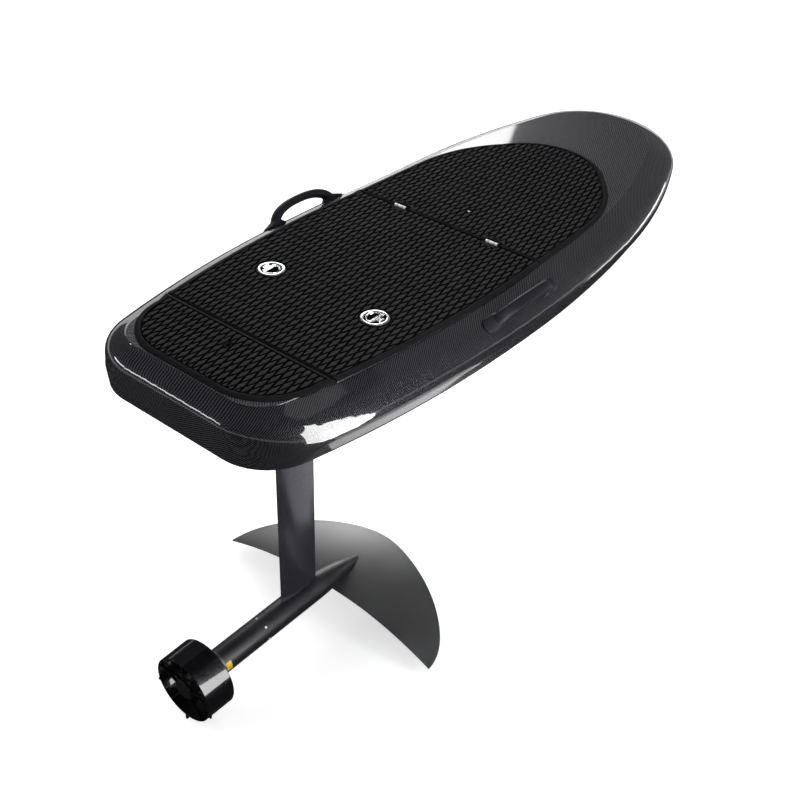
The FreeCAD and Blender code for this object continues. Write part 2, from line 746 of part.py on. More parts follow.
def latch_bezel(name, side):
    body = new_body(name)
    sketch = new_sketch(body, name + "_profile", role="XZ_Plane")
    radius = size("latch_radius")
    top = size("pad_thick") + size("latch_proud")
    draw(
        sketch,
        polygon(
            [
                (0, 0),
                (radius - 1.0, 0),
                (radius - 1.0, size("pad_thick") + 0.2),
                (radius, size("pad_thick") + 0.2),
                (radius - 2.5, top),
                (radius - 7.0, top),
                (radius - 9.0, 2.2),
                (7.0, 2.2),
                (6.0, 4.6),
                (0, 4.6),
            ]
        ),
    )
    revolve(body, sketch, name + "_turned", axis="V_Axis")
    body.Placement = turned((0, 0, 1), 0, (size("latch_x"), side * size("latch_y"), size("deck_z")))
    return body


def latch_ring(name, side):
    body = new_body(name)
    sketch = new_sketch(body, name + "_profile")
    outer = size("latch_radius") - 10.5
    inner = outer - 4.5
    draw(
        sketch,
        [
            ((-outer, 0), (0, -outer), (outer, 0)),
            ((outer, 0), (outer, 5.0)),
            ((outer, 5.0), (inner, 5.0)),
            ((inner, 5.0), (inner, 0)),
            ((inner, 0), (0, -inner), (-inner, 0)),
            ((-inner, 0), (-inner, 5.0)),
            ((-inner, 5.0), (-outer, 5.0)),
            ((-outer, 5.0), (-outer, 0)),
        ],
    )
    pad(body, sketch, name + "_bow", cell("latch_ring_thick"))
    turn = 90.0 * (1 - side)
    body.Placement = turned((0, 0, 1), turn, (size("latch_x"), side * size("latch_y"), size("deck_z") + 2.5))
    return body


for label, side in (("port", 1), ("starboard", -1)):
    keep(latch_bezel("latch_bezel_" + label, side))
    keep(latch_ring("latch_ring_" + label, side))

# Hinges: outer knuckles on the board, one between them on the lid, a pin through all three

hinge_height = size("deck_z") + size("pad_thick")


def knuckle(name, start, length, side, ahead):
    """A knuckle along Y with a leaf that lies on the deck or on the lid."""
    axis = "Sizes.split_fore_x"
    base = "%d * Sizes.hinge_y + (%s)" % (side, start)
    barrel = cylinder(
        name + "_barrel", cell("knuckle_radius"), length, (axis, base, "Sizes.deck_z + Sizes.pad_thick"),
        (1, 0, 0), -90.0,
    )
    if ahead:
        low_x = axis
        high_x = "Sizes.split_fore_x + Sizes.leaf_long"
        web_x = "Sizes.split_fore_x + Sizes.knuckle_radius * 0.6"
    else:
        low_x = "Sizes.split_fore_x - Sizes.leaf_long"
        high_x = axis
        web_x = "Sizes.split_fore_x - Sizes.knuckle_radius * 0.6"
    leaf = box(
        name + "_leaf",
        (low_x, base, "Sizes.deck_z"),
        (high_x, base + " + (%s)" % length, "Sizes.deck_z + Sizes.leaf_thick"),
    )
    web = box(
        name + "_web",
        (axis if ahead else web_x, base, "Sizes.deck_z"),
        (web_x if ahead else axis, base + " + (%s)" % length, "Sizes.deck_z + Sizes.pad_thick"),
    )
    return [barrel, leaf, web]


THIRD = "((Sizes.hinge_long - 2 * Sizes.knuckle_gap) / 3)"
for label, side in (("port", 1), ("starboard", -1)):
    pieces = knuckle("fixed_aft_" + label, "-Sizes.hinge_long / 2", THIRD, side, True)
    pieces += knuckle("fixed_fore_" + label, "Sizes.hinge_long / 2 - " + THIRD, THIRD, side, True)
    fixed = fuse("fixed_knuckles_" + label, pieces)
    bore = cylinder(
        "fixed_bore_" + label, cell("pin_radius"), "Sizes.hinge_long + 20",
        ("Sizes.split_fore_x", "%d * Sizes.hinge_y - Sizes.hinge_long / 2 - 10" % side,
         "Sizes.deck_z + Sizes.pad_thick"), (1, 0, 0), -90.0,
    )
    keep(cut("hinge_fixed_" + label, fixed, bore))
    moving = fuse("moving_knuckle_" + label, knuckle("moving_" + label, "-%s / 2" % THIRD, THIRD, side, False))
    play = cylinder(
        "moving_bore_" + label, "Sizes.pin_radius + Sizes.hinge_play", "Sizes.hinge_long + 20",
        ("Sizes.split_fore_x", "%d * Sizes.hinge_y - Sizes.hinge_long / 2 - 10" % side,
         "Sizes.deck_z + Sizes.pad_thick"), (1, 0, 0), -90.0,
    )
    keep(cut("hinge_leaf_" + label, moving, play))
    pin = cylinder(
        "hinge_pin_" + label, cell("pin_radius"), cell("hinge_long"),
        ("Sizes.split_fore_x", "%d * Sizes.hinge_y - Sizes.hinge_long / 2" % side,
         "Sizes.deck_z + Sizes.pad_thick"), (1, 0, 0), -90.0,
    )
    keep(pin)

# Fittings of the deck: leash plug and deck screw


def turned_piece(name, points, place, axis=(0, 0, 1), turn=0.0):
    """A turned piece from its half profile (radius, height), placed on its seat."""
    body = new_body(name)
    sketch = new_sketch(body, name + "_profile", role="XZ_Plane")
    draw(sketch, polygon(points))
    revolve(body, sketch, name + "_turned", axis="V_Axis")
    body.Placement = turned(axis, turn, place)
    return body


plug = size("vent_radius")
eye = size("plug_bore")
mouth = size("plug_mouth")
keep(
    turned_piece(
        "leash_plug",
        [(0, -20), (plug, -20), (plug, mouth), (eye, mouth), (eye, mouth - size("plug_deep")), (0, mouth - size("plug_deep"))],
        (size("vent_x"), 0, size("deck_z")),
    )
)
screw = size("screw_radius")
keep(
    turned_piece(
        "deck_screw",
        [(0, -16), (screw, -16), (screw, 3.0), (screw - 1.5, 4.0), (screw - 2.0, 2.0), (0, 2.0)],
        (size("screw_x"), 0, size("deck_z")),
    )
)

# Inside the well: the battery on its floor, and the seal on the ledge

keep(
    box(
        "battery",
        (WELL["aft"] + " + Sizes.battery_gap", "-Sizes.battery_wide / 2", WELL["floor"]),
        (
            WELL["aft"] + " + Sizes.battery_gap + Sizes.battery_long",
            "Sizes.battery_wide / 2",
            WELL["floor"] + " + Sizes.battery_high",
        ),
    )
)
seal_height = "Sizes.deck_z - Sizes.lid_thick"
seal_outer = box(
    "seal_outer",
    (
        WELL["aft"] + " - Sizes.seal_wide - Sizes.seal_inset",
        "-(" + WELL["half"] + " + Sizes.seal_wide + Sizes.seal_inset)",
        seal_height + " - Sizes.seal_groove",
    ),
    (
        WELL["fore"] + " + Sizes.seal_wide + Sizes.seal_inset",
        WELL["half"] + " + Sizes.seal_wide + Sizes.seal_inset",
        seal_height,
    ),
)
seal_inner = box(
    "seal_inner",
    (
        WELL["aft"] + " - Sizes.seal_inset",
        "-(" + WELL["half"] + " + Sizes.seal_inset)",
        seal_height + " - Sizes.seal_groove - 1",
    ),
    (
        WELL["fore"] + " + Sizes.seal_inset",
        WELL["half"] + " + Sizes.seal_inset",
        seal_height + " + 1",
    ),
)
seal = keep(cut("hatch_seal", seal_outer, seal_inner))

# Carry handles: a bent grip on two flared feet, trimmed to the rail they stand on


def handle_blank(name):
    """In its own frame: +X along the board, +Z out of the rail; the seat is at the origin."""
    body = new_body(name)
    path = new_sketch(body, name + "_path", role="XZ_Plane")
    span = size("handle_foot_span")
    rise = size("handle_rise")
    grip = size("handle_grip_half")
    bend = size("handle_bend")
    sink = 12.0
    lean = math.atan2(rise + sink, span - grip)
    cut_back = bend * math.tan(lean / 2.0)
    low = (span, -sink)
    knee = (grip, rise)
    first = (knee[0] + cut_back * math.cos(lean), knee[1] - cut_back * math.sin(lean))
    last = (knee[0] - cut_back, rise)
    centre = (last[0], rise - bend)
    half = math.pi / 2.0 - lean / 2.0
    middle = (centre[0] + bend * math.cos(half), centre[1] + bend * math.sin(half))

    def other(point):
        return (-point[0], point[1])

    draw(
        path,
        [
            (low, first),
            (first, middle, last),
            (last, other(last)),
            (other(last), other(middle), other(first)),
            (other(first), other(low)),
        ],
    )
    ring = body.newObject("Sketcher::SketchObject", name + "_section")
    ring.AttachmentSupport = [(plane_of(body, "YZ_Plane"), "")]
    ring.MapMode = "FlatFace"
    ring.AttachmentOffset = Placement(Vector(0, rise, 0), Rotation())
    draw_circle(ring, (0, 0), "handle_radius", "grip")
    return body, path, ring


def handle(name, side):
    body, path, ring = handle_blank(name + "_grip")
    doc.recompute()
    spine = Part.Wire(Part.__sortEdges__(path.Shape.Edges))
    start = spine.OrderedVertexes[0].Point
    heading = spine.OrderedEdges[0].tangentAt(spine.OrderedEdges[0].FirstParameter)
    section = Part.Wire(Part.Circle(start, heading, size("handle_radius")).toShape())
    sweep = spine.makePipeShell([section], True, False)
    feet = []
    for end in (-1, 1):
        long = size("handle_foot_long")
        wide = size("handle_foot_wide")
        foot = Part.makeBox(long - wide, wide, 40.0, Vector(-(long - wide) / 2.0, -wide / 2.0, -30.0))
        for tip in (-1, 1):
            foot = foot.fuse(
                Part.makeCylinder(wide / 2.0, 40.0, Vector(tip * (long - wide) / 2.0, 0, -30.0))
            )
        foot = foot.removeSplitter()
        foot.translate(Vector(end * size("handle_foot_span"), 0, size("handle_foot_thick") - 10.0))
        feet.append(foot)
    whole = sweep.fuse(feet).removeSplitter()
    whole.Placement = Placement(
        Vector(size("handle_x"), side * size("handle_y"), size("handle_z")),
        Rotation(Vector(1, 0, 0), -side * size("handle_tilt")),
    )
    return feature_of(name, whole.cut(hull_solid))


hull_solid = hull_skin()
keep(handle("handle_port", 1))
keep(handle("handle_starboard", -1))

# Hull: everything that is cut out of its skin

seal_tool = cut("seal_groove_tool", seal_outer, seal_inner)
hull_holes = fuse("hull_holes", HULL_TOOLS + [seal_tool])
keep(cut("hull", skin, hull_holes))

# Mast: a bolted plate under the hull, and one straight foil-shaped mast down to the fuselage

half_chord = "Sizes.mast_chord / 2"
plate = new_body("mast_plate")
plate_sketch = new_sketch(plate, "plate_outline")
half_long = size("mast_plate_long") / 2.0
half_wide = size("mast_plate_wide") / 2.0
bend = size("mast_plate_round")
turn_in = bend * (1.0 - math.sqrt(0.5))
draw(
    plate_sketch,
    [
        ((-half_long + bend, -half_wide), (half_long - bend, -half_wide)),
        ((half_long - bend, -half_wide), (half_long - turn_in, -half_wide + turn_in), (half_long, -half_wide + bend)),
        ((half_long, -half_wide + bend), (half_long, half_wide - bend)),
        ((half_long, half_wide - bend), (half_long - turn_in, half_wide - turn_in), (half_long - bend, half_wide)),
        ((half_long - bend, half_wide), (-half_long + bend, half_wide)),
        ((-half_long + bend, half_wide), (-half_long + turn_in, half_wide - turn_in), (-half_long, half_wide - bend)),
        ((-half_long, half_wide - bend), (-half_long, -half_wide + bend)),
        ((-half_long, -half_wide + bend), (-half_long + turn_in, -half_wide + turn_in), (-half_long + bend, -half_wide)),
    ],
)
pad(plate, plate_sketch, "plate_body", cell("mast_plate_thick"), downward=True)
plate.Placement = turned((0, 0, 1), 0, (0, 0, size("bottom_z")))
keep(plate)

bolts = []
for fore in (-1, 1):
    for side in (-1, 1):
        bolts.append(
            cylinder(
                "plate_bolt_%d_%d" % (fore + 1, side + 1), cell("mast_bolt_radius"), cell("mast_bolt_high"),
                (
                    "%d * Sizes.mast_bolt_x" % fore,
                    "%d * Sizes.mast_bolt_y" % side,
                    "Sizes.bottom_z - Sizes.mast_plate_thick - Sizes.mast_bolt_high",
                ),
            )
        )
keep(fuse("mast_bolts", bolts))


def foil_chain(aft, fore, thick, nose, edge, lift=0.0):
    """A foil section: round leading edge, two flat arcs, square trailing edge."""
    chord = fore - aft
    crest = fore - 0.36 * chord
    half = thick / 2.0
    upper = (crest, lift + half)
    lower = (crest, lift - half)
    shoulder_x = fore - nose * 0.8
    shoulder = nose * 0.9
    return [
        ((aft, lift - edge / 2.0), (aft, lift + edge / 2.0)),
        ((aft, lift + edge / 2.0), upper, (shoulder_x, lift + shoulder)),
        ((shoulder_x, lift + shoulder), (fore, lift), (shoulder_x, lift - shoulder)),
        ((shoulder_x, lift - shoulder), lower, (aft, lift - edge / 2.0)),
    ]


mast_blank = new_body("mast_blank")
mast_sketch = new_sketch(mast_blank, "mast_section")
draw(
    mast_sketch,
    foil_chain(-size("mast_chord") / 2.0, size("mast_chord") / 2.0, size("mast_thick"), size("mast_nose"), 2.0),
)
pad(
    mast_blank, mast_sketch, "mast_pad",
    "Sizes.bottom_z - Sizes.mast_plate_thick - Sizes.fuselage_z",
)
mast_blank.Placement = turned((0, 0, 1), 0, (0, 0, size("fuselage_z")))
mast_seat = cylinder(
    "mast_seat", cell("tube_radius"), "600", ("-300", "0", "Sizes.fuselage_z"), (0, 1, 0), 90.0
)
keep(cut("mast", mast_blank, mast_seat))

# Front wing: foil sections across the span, the chord and the droop from the plan of the wing


def wing_station(share):
    """Trailing edge, leading edge, height and thickness at a share of the half span."""
    root_fore = size("wing_root_fore_x")
    root_aft = size("wing_root_aft_x")
    tip_x = size("wing_tip_x")
    fore = tip_x + (root_fore - tip_x) * (1.0 - share ** size("wing_sweep_power")) ** size("wing_sweep_round")
    aft = root_aft + size("wing_aft_bow") * (1.0 - (2.0 * share - 1.0) ** 2)
    aft += (tip_x - size("wing_tip_chord") - root_aft) * share ** 2
    height = size("wing_root_z") + (size("wing_tip_z") - size("wing_root_z")) * share ** 2
    thick = size("wing_tip_thick") + (size("wing_root_thick") - size("wing_tip_thick")) * (1.0 - share ** 2)
    return aft, fore, height, thick


def wing_wire(share, side):
    aft, fore, height, thick = wing_station(share)
    nose = min(0.28 * thick, 0.2 * (fore - aft))
    y = side * share * size("wing_half_span")
    edges = []
    for points in foil_chain(aft, fore, thick, nose, size("wing_edge_thick"), height):
        spots = [Vector(x, y, z) for x, z in points]
        if len(spots) == 2:
            edges.append(Part.LineSegment(*spots).toShape())
        else:
            edges.append(Part.Arc(*spots).toShape())
    return Part.Wire(edges)


WING_SHARES = [0.0, 0.3, 0.55, 0.75, 0.88, 0.96, 1.0]


def wing_solid():
    wires = [wing_wire(share, -1) for share in reversed(WING_SHARES)]
    wires += [wing_wire(share, 1) for share in WING_SHARES[1:]]
    return Part.makeLoft(wires, True, False)


wing = keep(feature_of("front_wing", wing_solid()))

# Fuselage: tube under the mast, tapering forward onto the wing; the wing's seat is cut from it

fuselage_tube = cylinder(
    "fuselage_tube", cell("tube_radius"), "Sizes.taper_x - Sizes.pod_seam_x",
    ("Sizes.pod_seam_x", "0", "Sizes.fuselage_z"), (0, 1, 0), 90.0,
)
rings = []
for name, x, radius, fall in (
    ("taper_root", "Sizes.taper_x", "Sizes.tube_radius", "0"),
    ("taper_middle", "Sizes.taper_mid_x", "Sizes.taper_mid_radius", "Sizes.taper_mid_fall"),
    ("taper_tip", "Sizes.taper_tip_x", "Sizes.taper_tip_radius", "Sizes.taper_tip_fall"),
):
    ring = doc.addObject("Part::Circle", name)
    ring.Placement = turned((0, 1, 0), 90.0, (0, 0, 0))
    ring.setExpression("Radius", radius)
    ring.setExpression("Placement.Base.x", x)
    ring.setExpression("Placement.Base.z", "Sizes.fuselage_z - " + fall)
    rings.append(ring)
taper = doc.addObject("Part::Loft", "fuselage_taper")
taper.Sections = rings
taper.Solid = True
taper.Ruled = False
wing_room = box(
    "wing_room",
    ("Sizes.wing_root_aft_x", "-60", "Sizes.wing_root_z - 60"),
    ("Sizes.wing_root_fore_x", "60", "Sizes.wing_root_z"),
)
wing_copy = feature_of("wing_seat", wing_solid())
fuselage_blank = fuse("fuselage_blank", [fuselage_tube, taper])
fuselage_open = cut("fuselage_open", fuselage_blank, wing_room)
keep(cut("fuselage", fuselage_open, wing_copy))

# Motor pod: a tube from the fuselage to the collar, closed by a stepped rear end

pod = new_body("motor_pod")
pod_sketch = new_sketch(pod, "pod_profile", role="XZ_Plane")
tube = size("tube_radius")
front = size("pod_seam_x")
rear = size("pod_front_x")
groove = size("seam_groove")
bearing = size("shaft_radius") + size("shaft_play")
draw(
    pod_sketch,
    polygon(
        [
            (front, 0),
            (front, tube - groove),
            (front - 1.2, tube - groove),
            (front - 2.0, tube),
            (rear + 1.0, tube),
            (rear, tube - 1.0),
            (rear, bearing),
            (size("shaft_front_x") + 1.0, bearing),
            (size("shaft_front_x") + 1.0, 0),
        ]
    ),
)
revolve(pod, pod_sketch, "pod_turned")
pod.Placement = turned((0, 0, 1), 0, (0, 0, size("fuselage_z")))
keep(pod)

# Duct: a thin ring with slightly rounded edges, held from the pod's collar by struts

duct = new_body("duct_ring")
duct_sketch = new_sketch(duct, "duct_profile", role="XZ_Plane")
outer = size("duct_radius")
inner = outer - size("duct_wall")
middle = 0.5 * (outer + inner)
draw(
    duct_sketch,
    [
        ((size("duct_rear_x"), inner + 1.0), (size("duct_rear_x") - 0.8, middle), (size("duct_rear_x"), outer - 1.0)),
        ((size("duct_rear_x"), outer - 1.0), (size("duct_front_x") - 2.0, outer)),
        ((size("duct_front_x") - 2.0, outer), (size("duct_front_x"), middle), (size("duct_front_x") - 2.0, inner)),
        ((size("duct_front_x") - 2.0, inner), (size("duct_rear_x"), inner + 1.0)),
    ],
)
revolve(duct, duct_sketch, "duct_turned")
duct.Placement = turned((0, 0, 1), 0, (0, 0, size("fuselage_z")))
keep(duct)

# Collar: a sleeve with a bulkhead over the end of the pod, and the struts that carry the duct

collar = new_body("duct_collar")
collar_sketch = new_sketch(collar, "collar_profile", role="XZ_Plane")
sleeve = size("collar_radius")
draw(
    collar_sketch,
    polygon(
        [
            (size("collar_rear_x"), size("shaft_radius") + size("shaft_room")),
            (size("pod_front_x"), size("shaft_radius") + size("shaft_room")),
            (size("pod_front_x"), size("tube_radius")),
            (size("collar_front_x"), size("tube_radius")),
            (size("collar_front_x"), sleeve - 1.0),
            (size("collar_front_x") - 1.0, sleeve),
            (size("pod_front_x"), sleeve),
            (size("collar_rear_x"), sleeve - 8.0),
        ]
    ),
)
revolve(collar, collar_sketch, "collar_turned")
strut_sketch = new_sketch(collar, "strut_outline", role="XZ_Plane")
strut_aft = size("duct_front_x") - 12.0
draw(
    strut_sketch,
    polygon(
        [
            (strut_aft, inner - size("ring_play")),
            (strut_aft + 4.0, sleeve - 9.0),
            (size("pod_front_x") + 2.0, sleeve - 2.0),
            (size("duct_front_x") - 2.0, inner - size("ring_play")),
        ]
    ),
)
strut = pad(collar, strut_sketch, "strut_pad", cell("strut_thick"), midplane=True)
doc.recompute()
repeat_round(collar, strut, "struts", strut_sketch, "strut_count")
collar.Placement = turned((0, 0, 1), 0, (0, 0, size("fuselage_z")))
keep(collar)

# Rear guard of the duct: a hub cap that holds the end of the shaft, and slim vanes to the ring

spider = new_body("duct_spider")
cap_sketch = new_sketch(spider, "cap_profile", role="XZ_Plane")
cap = size("spider_radius")
rear_face = size("duct_rear_x")
bore = size("shaft_radius") + size("shaft_play")
draw(
    cap_sketch,
    polygon(
        [
            (rear_face, 0),
            (rear_face, cap - 2.0),
            (rear_face + 2.0, cap),
            (rear_face + size("spider_thick"), cap),
            (rear_face + size("spider_thick"), bore),
            (rear_face + 3.0, bore),
            (rear_face + 3.0, 0),
        ]
    ),
)
revolve(spider, cap_sketch, "cap_turned")
vane_sketch = new_sketch(spider, "vane_outline", role="XZ_Plane")
draw(
    vane_sketch,
    polygon(
        [
            (rear_face + 1.0, cap - 3.0),
            (rear_face + 1.0 + size("vane_chord") - 3.0, cap - 3.0),
            (rear_face + 1.0 + size("vane_chord"), inner - size("ring_play")),
            (rear_face + 1.0, inner - size("ring_play")),
        ]
    ),
)
vane = pad(spider, vane_sketch, "vane_pad", cell("vane_thick"), midplane=True)
doc.recompute()
repeat_round(spider, vane, "vanes", vane_sketch, "vane_count")
spider.Placement = turned((0, 0, 1), 0, (0, 0, size("fuselage_z")))
keep(spider)

# Fin and tabs on the duct's rear edge, their seats cut to the ring's outer radius


def ring_lug(name, degrees, long, high, thick):
    """A lug that stands out of the ring at an angle from straight down."""
    lug = Part.makeBox(long, thick, high + 6.0, Vector(size("duct_rear_x"), -thick / 2.0, outer - 6.0))
    slope = Part.makeBox(long * 2.0, thick + 2.0, high * 3.0, Vector(0, -thick / 2.0 - 1.0, 0))
    slope.rotate(Vector(0, 0, 0), Vector(0, 1, 0), math.degrees(math.atan2(high, long * 0.55)))
    slope.translate(Vector(size("duct_rear_x") + long * 0.45, 0, outer + high))
    lug = lug.cut(slope).cut(tube_shape(outer, size("duct_rear_x") - 5.0, size("duct_front_x")))
    lug.rotate(Vector(0, 0, 0), Vector(1, 0, 0), 180.0 + degrees)
    lug.translate(Vector(0, 0, size("fuselage_z")))
    return lug


def tube_shape(radius, x_low, x_high):
    return Part.makeCylinder(radius, x_high - x_low, Vector(x_low, 0, 0), Vector(1, 0, 0))


keep(feature_of("duct_fin", ring_lug("fin", 0.0, size("fin_long"), size("fin_high"), size("fin_thick"))))
tabs = []
for degrees in (size("tab_angle"), -size("tab_angle")):
    tabs.append(ring_lug("tab", degrees, size("tab_long"), size("tab_high"), size("fin_thick")))
keep(feature_of("duct_tabs", Part.makeCompound(tabs)))

# Propeller: a hub with three twisted blades, and the shaft it sits on

prop = new_body("propeller")
hub_sketch = new_sketch(prop, "hub_profile", role="XZ_Plane")
hub = size("prop_hub_radius")
hub_front = size("prop_front_x")
hub_rear = size("prop_rear_x")
draw(
    hub_sketch,
    polygon(
        [
            (hub_front, size("shaft_radius")),
            (hub_front, hub - 2.0),
            (hub_front - 2.0, hub),
            (hub_rear + 14.0, hub),
            (hub_rear, hub - 7.0),
            (hub_rear, size("shaft_radius")),
        ]
    ),
)
revolve(prop, hub_sketch, "hub_turned")
stations = []
for index, share in enumerate((0.0, 0.45, 1.0)):
    low = size("prop_hub_radius") - 5.0
    radius = low + (size("prop_radius") - low) * share
    angle = size("blade_root_angle") + (size("blade_tip_angle") - size("blade_root_angle")) * share
    chord = size("blade_root_chord") + (size("blade_tip_chord") - size("blade_root_chord")) * share
    station = new_sketch(
        prop, "blade_station_%d" % index, offset=(0.5 * (hub_front + hub_rear), 0, radius), turn=90.0 - angle
    )
    thick = size("blade_thick") * (1.0 - 0.4 * share)
    draw(station, foil_chain(-chord / 2.0, chord / 2.0, thick, 0.9, 0.9))
    stations.append(station)
blade = prop.newObject("PartDesign::AdditiveLoft", "blade")
blade.Profile = stations[0]
blade.Sections = stations[1:]
doc.recompute()
repeat_round(prop, blade, "blades", hub_sketch, "blade_count")
prop.Placement = turned((0, 0, 1), 0, (0, 0, size("fuselage_z")))
keep(prop)

shaft = cylinder(
    "prop_shaft", cell("shaft_radius"), "Sizes.shaft_front_x - Sizes.shaft_rear_x",
    ("Sizes.shaft_rear_x", "0", "Sizes.fuselage_z"), (0, 1, 0), 90.0,
)
keep(shaft)

# Every object and every piece is looked at before anything is written

doc.recompute()
for item in doc.Objects:
    if "Invalid" in item.State or "Error" in item.State:
        raise RuntimeError("%s did not build: %s" % (item.Label, item.State))
for item in NODES:
    shape = item.Shape
    if shape.isNull() or not shape.isValid() or not shape.Solids or shape.Volume <= 0:
        raise RuntimeError("%s has no valid solid" % item.Label)
for item in NODES:
    item.Shape.exportStep("parts/" + item.Label + ".step")
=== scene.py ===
import math

import bmesh
import bpy
import numpy as np

from mathutils import Matrix, Vector


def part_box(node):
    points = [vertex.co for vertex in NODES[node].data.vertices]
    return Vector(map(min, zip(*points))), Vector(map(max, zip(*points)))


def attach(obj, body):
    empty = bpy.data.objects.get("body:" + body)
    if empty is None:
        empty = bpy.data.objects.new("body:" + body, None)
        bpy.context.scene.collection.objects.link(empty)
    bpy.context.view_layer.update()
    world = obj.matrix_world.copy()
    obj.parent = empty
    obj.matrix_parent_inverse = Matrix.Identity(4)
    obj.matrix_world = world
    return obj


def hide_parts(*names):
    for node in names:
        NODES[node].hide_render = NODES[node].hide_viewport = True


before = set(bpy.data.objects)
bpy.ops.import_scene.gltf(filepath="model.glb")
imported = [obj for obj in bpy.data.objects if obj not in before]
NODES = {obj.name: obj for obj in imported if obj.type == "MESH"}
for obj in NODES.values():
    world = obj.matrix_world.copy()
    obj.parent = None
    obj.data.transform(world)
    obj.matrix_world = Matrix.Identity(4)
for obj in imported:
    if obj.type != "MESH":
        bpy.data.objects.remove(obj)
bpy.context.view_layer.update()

# Electric hydrofoil board: grooved deck pads, latches, handles, screws and finishes round the frame
# Metres; +X to the nose, +Y to port, +Z up

# Sizes shared with the frame

DECK_Z = 0.090
PAD_TOP = 0.095
RISE_START_X = 0.5427
RISE_ROUND = 6.208
FOIL_AXIS_Z = -0.755
POD_RADIUS = 0.0335
LATCH_X = 0.0958
LATCH_Y = 0.1503


def deck_rise(x):
    """Rise of the deck towards the nose."""
    return max(x - RISE_START_X, 0.0) ** 2 / (2.0 * RISE_ROUND)


# Camera: behind the starboard quarter, looking down along the board

CAMERA_PLACE = Vector((-1.4533, -1.4490, 1.3518))
CAMERA_AZIMUTH = math.radians(-51.673)
CAMERA_ELEVATION = math.radians(35.930)
CAMERA_ROLL = math.radians(2.172)


def aim_camera():
    back = Vector(
        (
            math.sin(CAMERA_AZIMUTH) * math.cos(CAMERA_ELEVATION),
            -math.cos(CAMERA_AZIMUTH) * math.cos(CAMERA_ELEVATION),
            math.sin(CAMERA_ELEVATION),
        )
    )
    level_right = (-back).cross(Vector((0, 0, 1))).normalized()
    level_up = level_right.cross(-back)
    turn_cos = math.cos(CAMERA_ROLL)
    turn_sin = math.sin(CAMERA_ROLL)
    right = turn_cos * level_right + turn_sin * level_up
    up = -turn_sin * level_right + turn_cos * level_up
    data = bpy.data.cameras.new("studio_camera")
    data.sensor_width = 36.0
    data.lens = 51.656
    data.clip_start = 0.05
    data.clip_end = 200.0
    camera = bpy.data.objects.new("studio_camera", data)
    camera.matrix_world = Matrix(
        (
            (right.x, up.x, back.x, CAMERA_PLACE.x),
            (right.y, up.y, back.y, CAMERA_PLACE.y),
            (right.z, up.z, back.z, CAMERA_PLACE.z),
            (0, 0, 0, 1),
        )
    )
    bpy.context.scene.collection.objects.link(camera)
    bpy.context.scene.camera = camera


aim_camera()

# Node trees: small helpers for groups and materials


class Tree:
    """A node tree with short ways to add a node and join sockets."""

    def __init__(self, tree):
        self.tree = tree
        self.nodes = tree.nodes
        self.links = tree.links

    def add(self, kind, **settings):
        node = self.nodes.new(kind)
        for name, value in settings.items():
            setattr(node, name, value)
        return node

    def join(self, source, target):
        self.links.new(source, target)

    def feed(self, socket, value):
        if isinstance(value, bpy.types.NodeSocket):
            self.links.new(value, socket)
        else:
            socket.default_value = value

    def math(self, operation, *values, clamp=False):
        node = self.add("ShaderNodeMath", operation=operation, use_clamp=clamp)
        for socket, value in zip(node.inputs, values):
            self.feed(socket, value)
        return node.outputs[0]

    def remap(self, value, low, high, to_low, to_high):
        node = self.add("ShaderNodeMapRange")
        for name, item in (
            ("Value", value), ("From Min", low), ("From Max", high),
            ("To Min", to_low), ("To Max", to_high),
        ):
            self.feed(node.inputs[name], item)
        return node.outputs["Result"]

    def noise(self, vector, scale, detail=3.0, roughness=0.55):
        node = self.add("ShaderNodeTexNoise")
        for name, item in (
            ("Vector", vector), ("Scale", scale), ("Detail", detail), ("Roughness", roughness),
        ):
            self.feed(node.inputs[name], item)
        return node.outputs["Fac"]

    def blend(self, factor, first, second):
        node = self.add("ShaderNodeMix", data_type="RGBA")
        self.feed(node.inputs[0], factor)
        self.feed(node.inputs[6], first)
        self.feed(node.inputs[7], second)
        return node.outputs[2]

    def place(self):
        return self.add("ShaderNodeTexCoord").outputs["Object"]

    def group(self, group, **values):
        node = self.add("ShaderNodeGroup", node_tree=group)
        for name, value in values.items():
            self.feed(node.inputs[name.replace("_", " ")], value)
        return node.outputs


def new_group(name, inputs, outputs):
    tree = bpy.data.node_groups.new(name, "ShaderNodeTree")
    for label, kind, value in inputs:
        socket = tree.interface.new_socket(name=label, in_out="INPUT", socket_type=kind)
        if value is not None:
            socket.default_value = value
    for label, kind in outputs:
        tree.interface.new_socket(name=label, in_out="OUTPUT", socket_type=kind)
    kit = Tree(tree)
    return kit, kit.add("NodeGroupInput").outputs, kit.add("NodeGroupOutput").inputs


FLOAT = "NodeSocketFloat"
VECTOR = "NodeSocketVector"


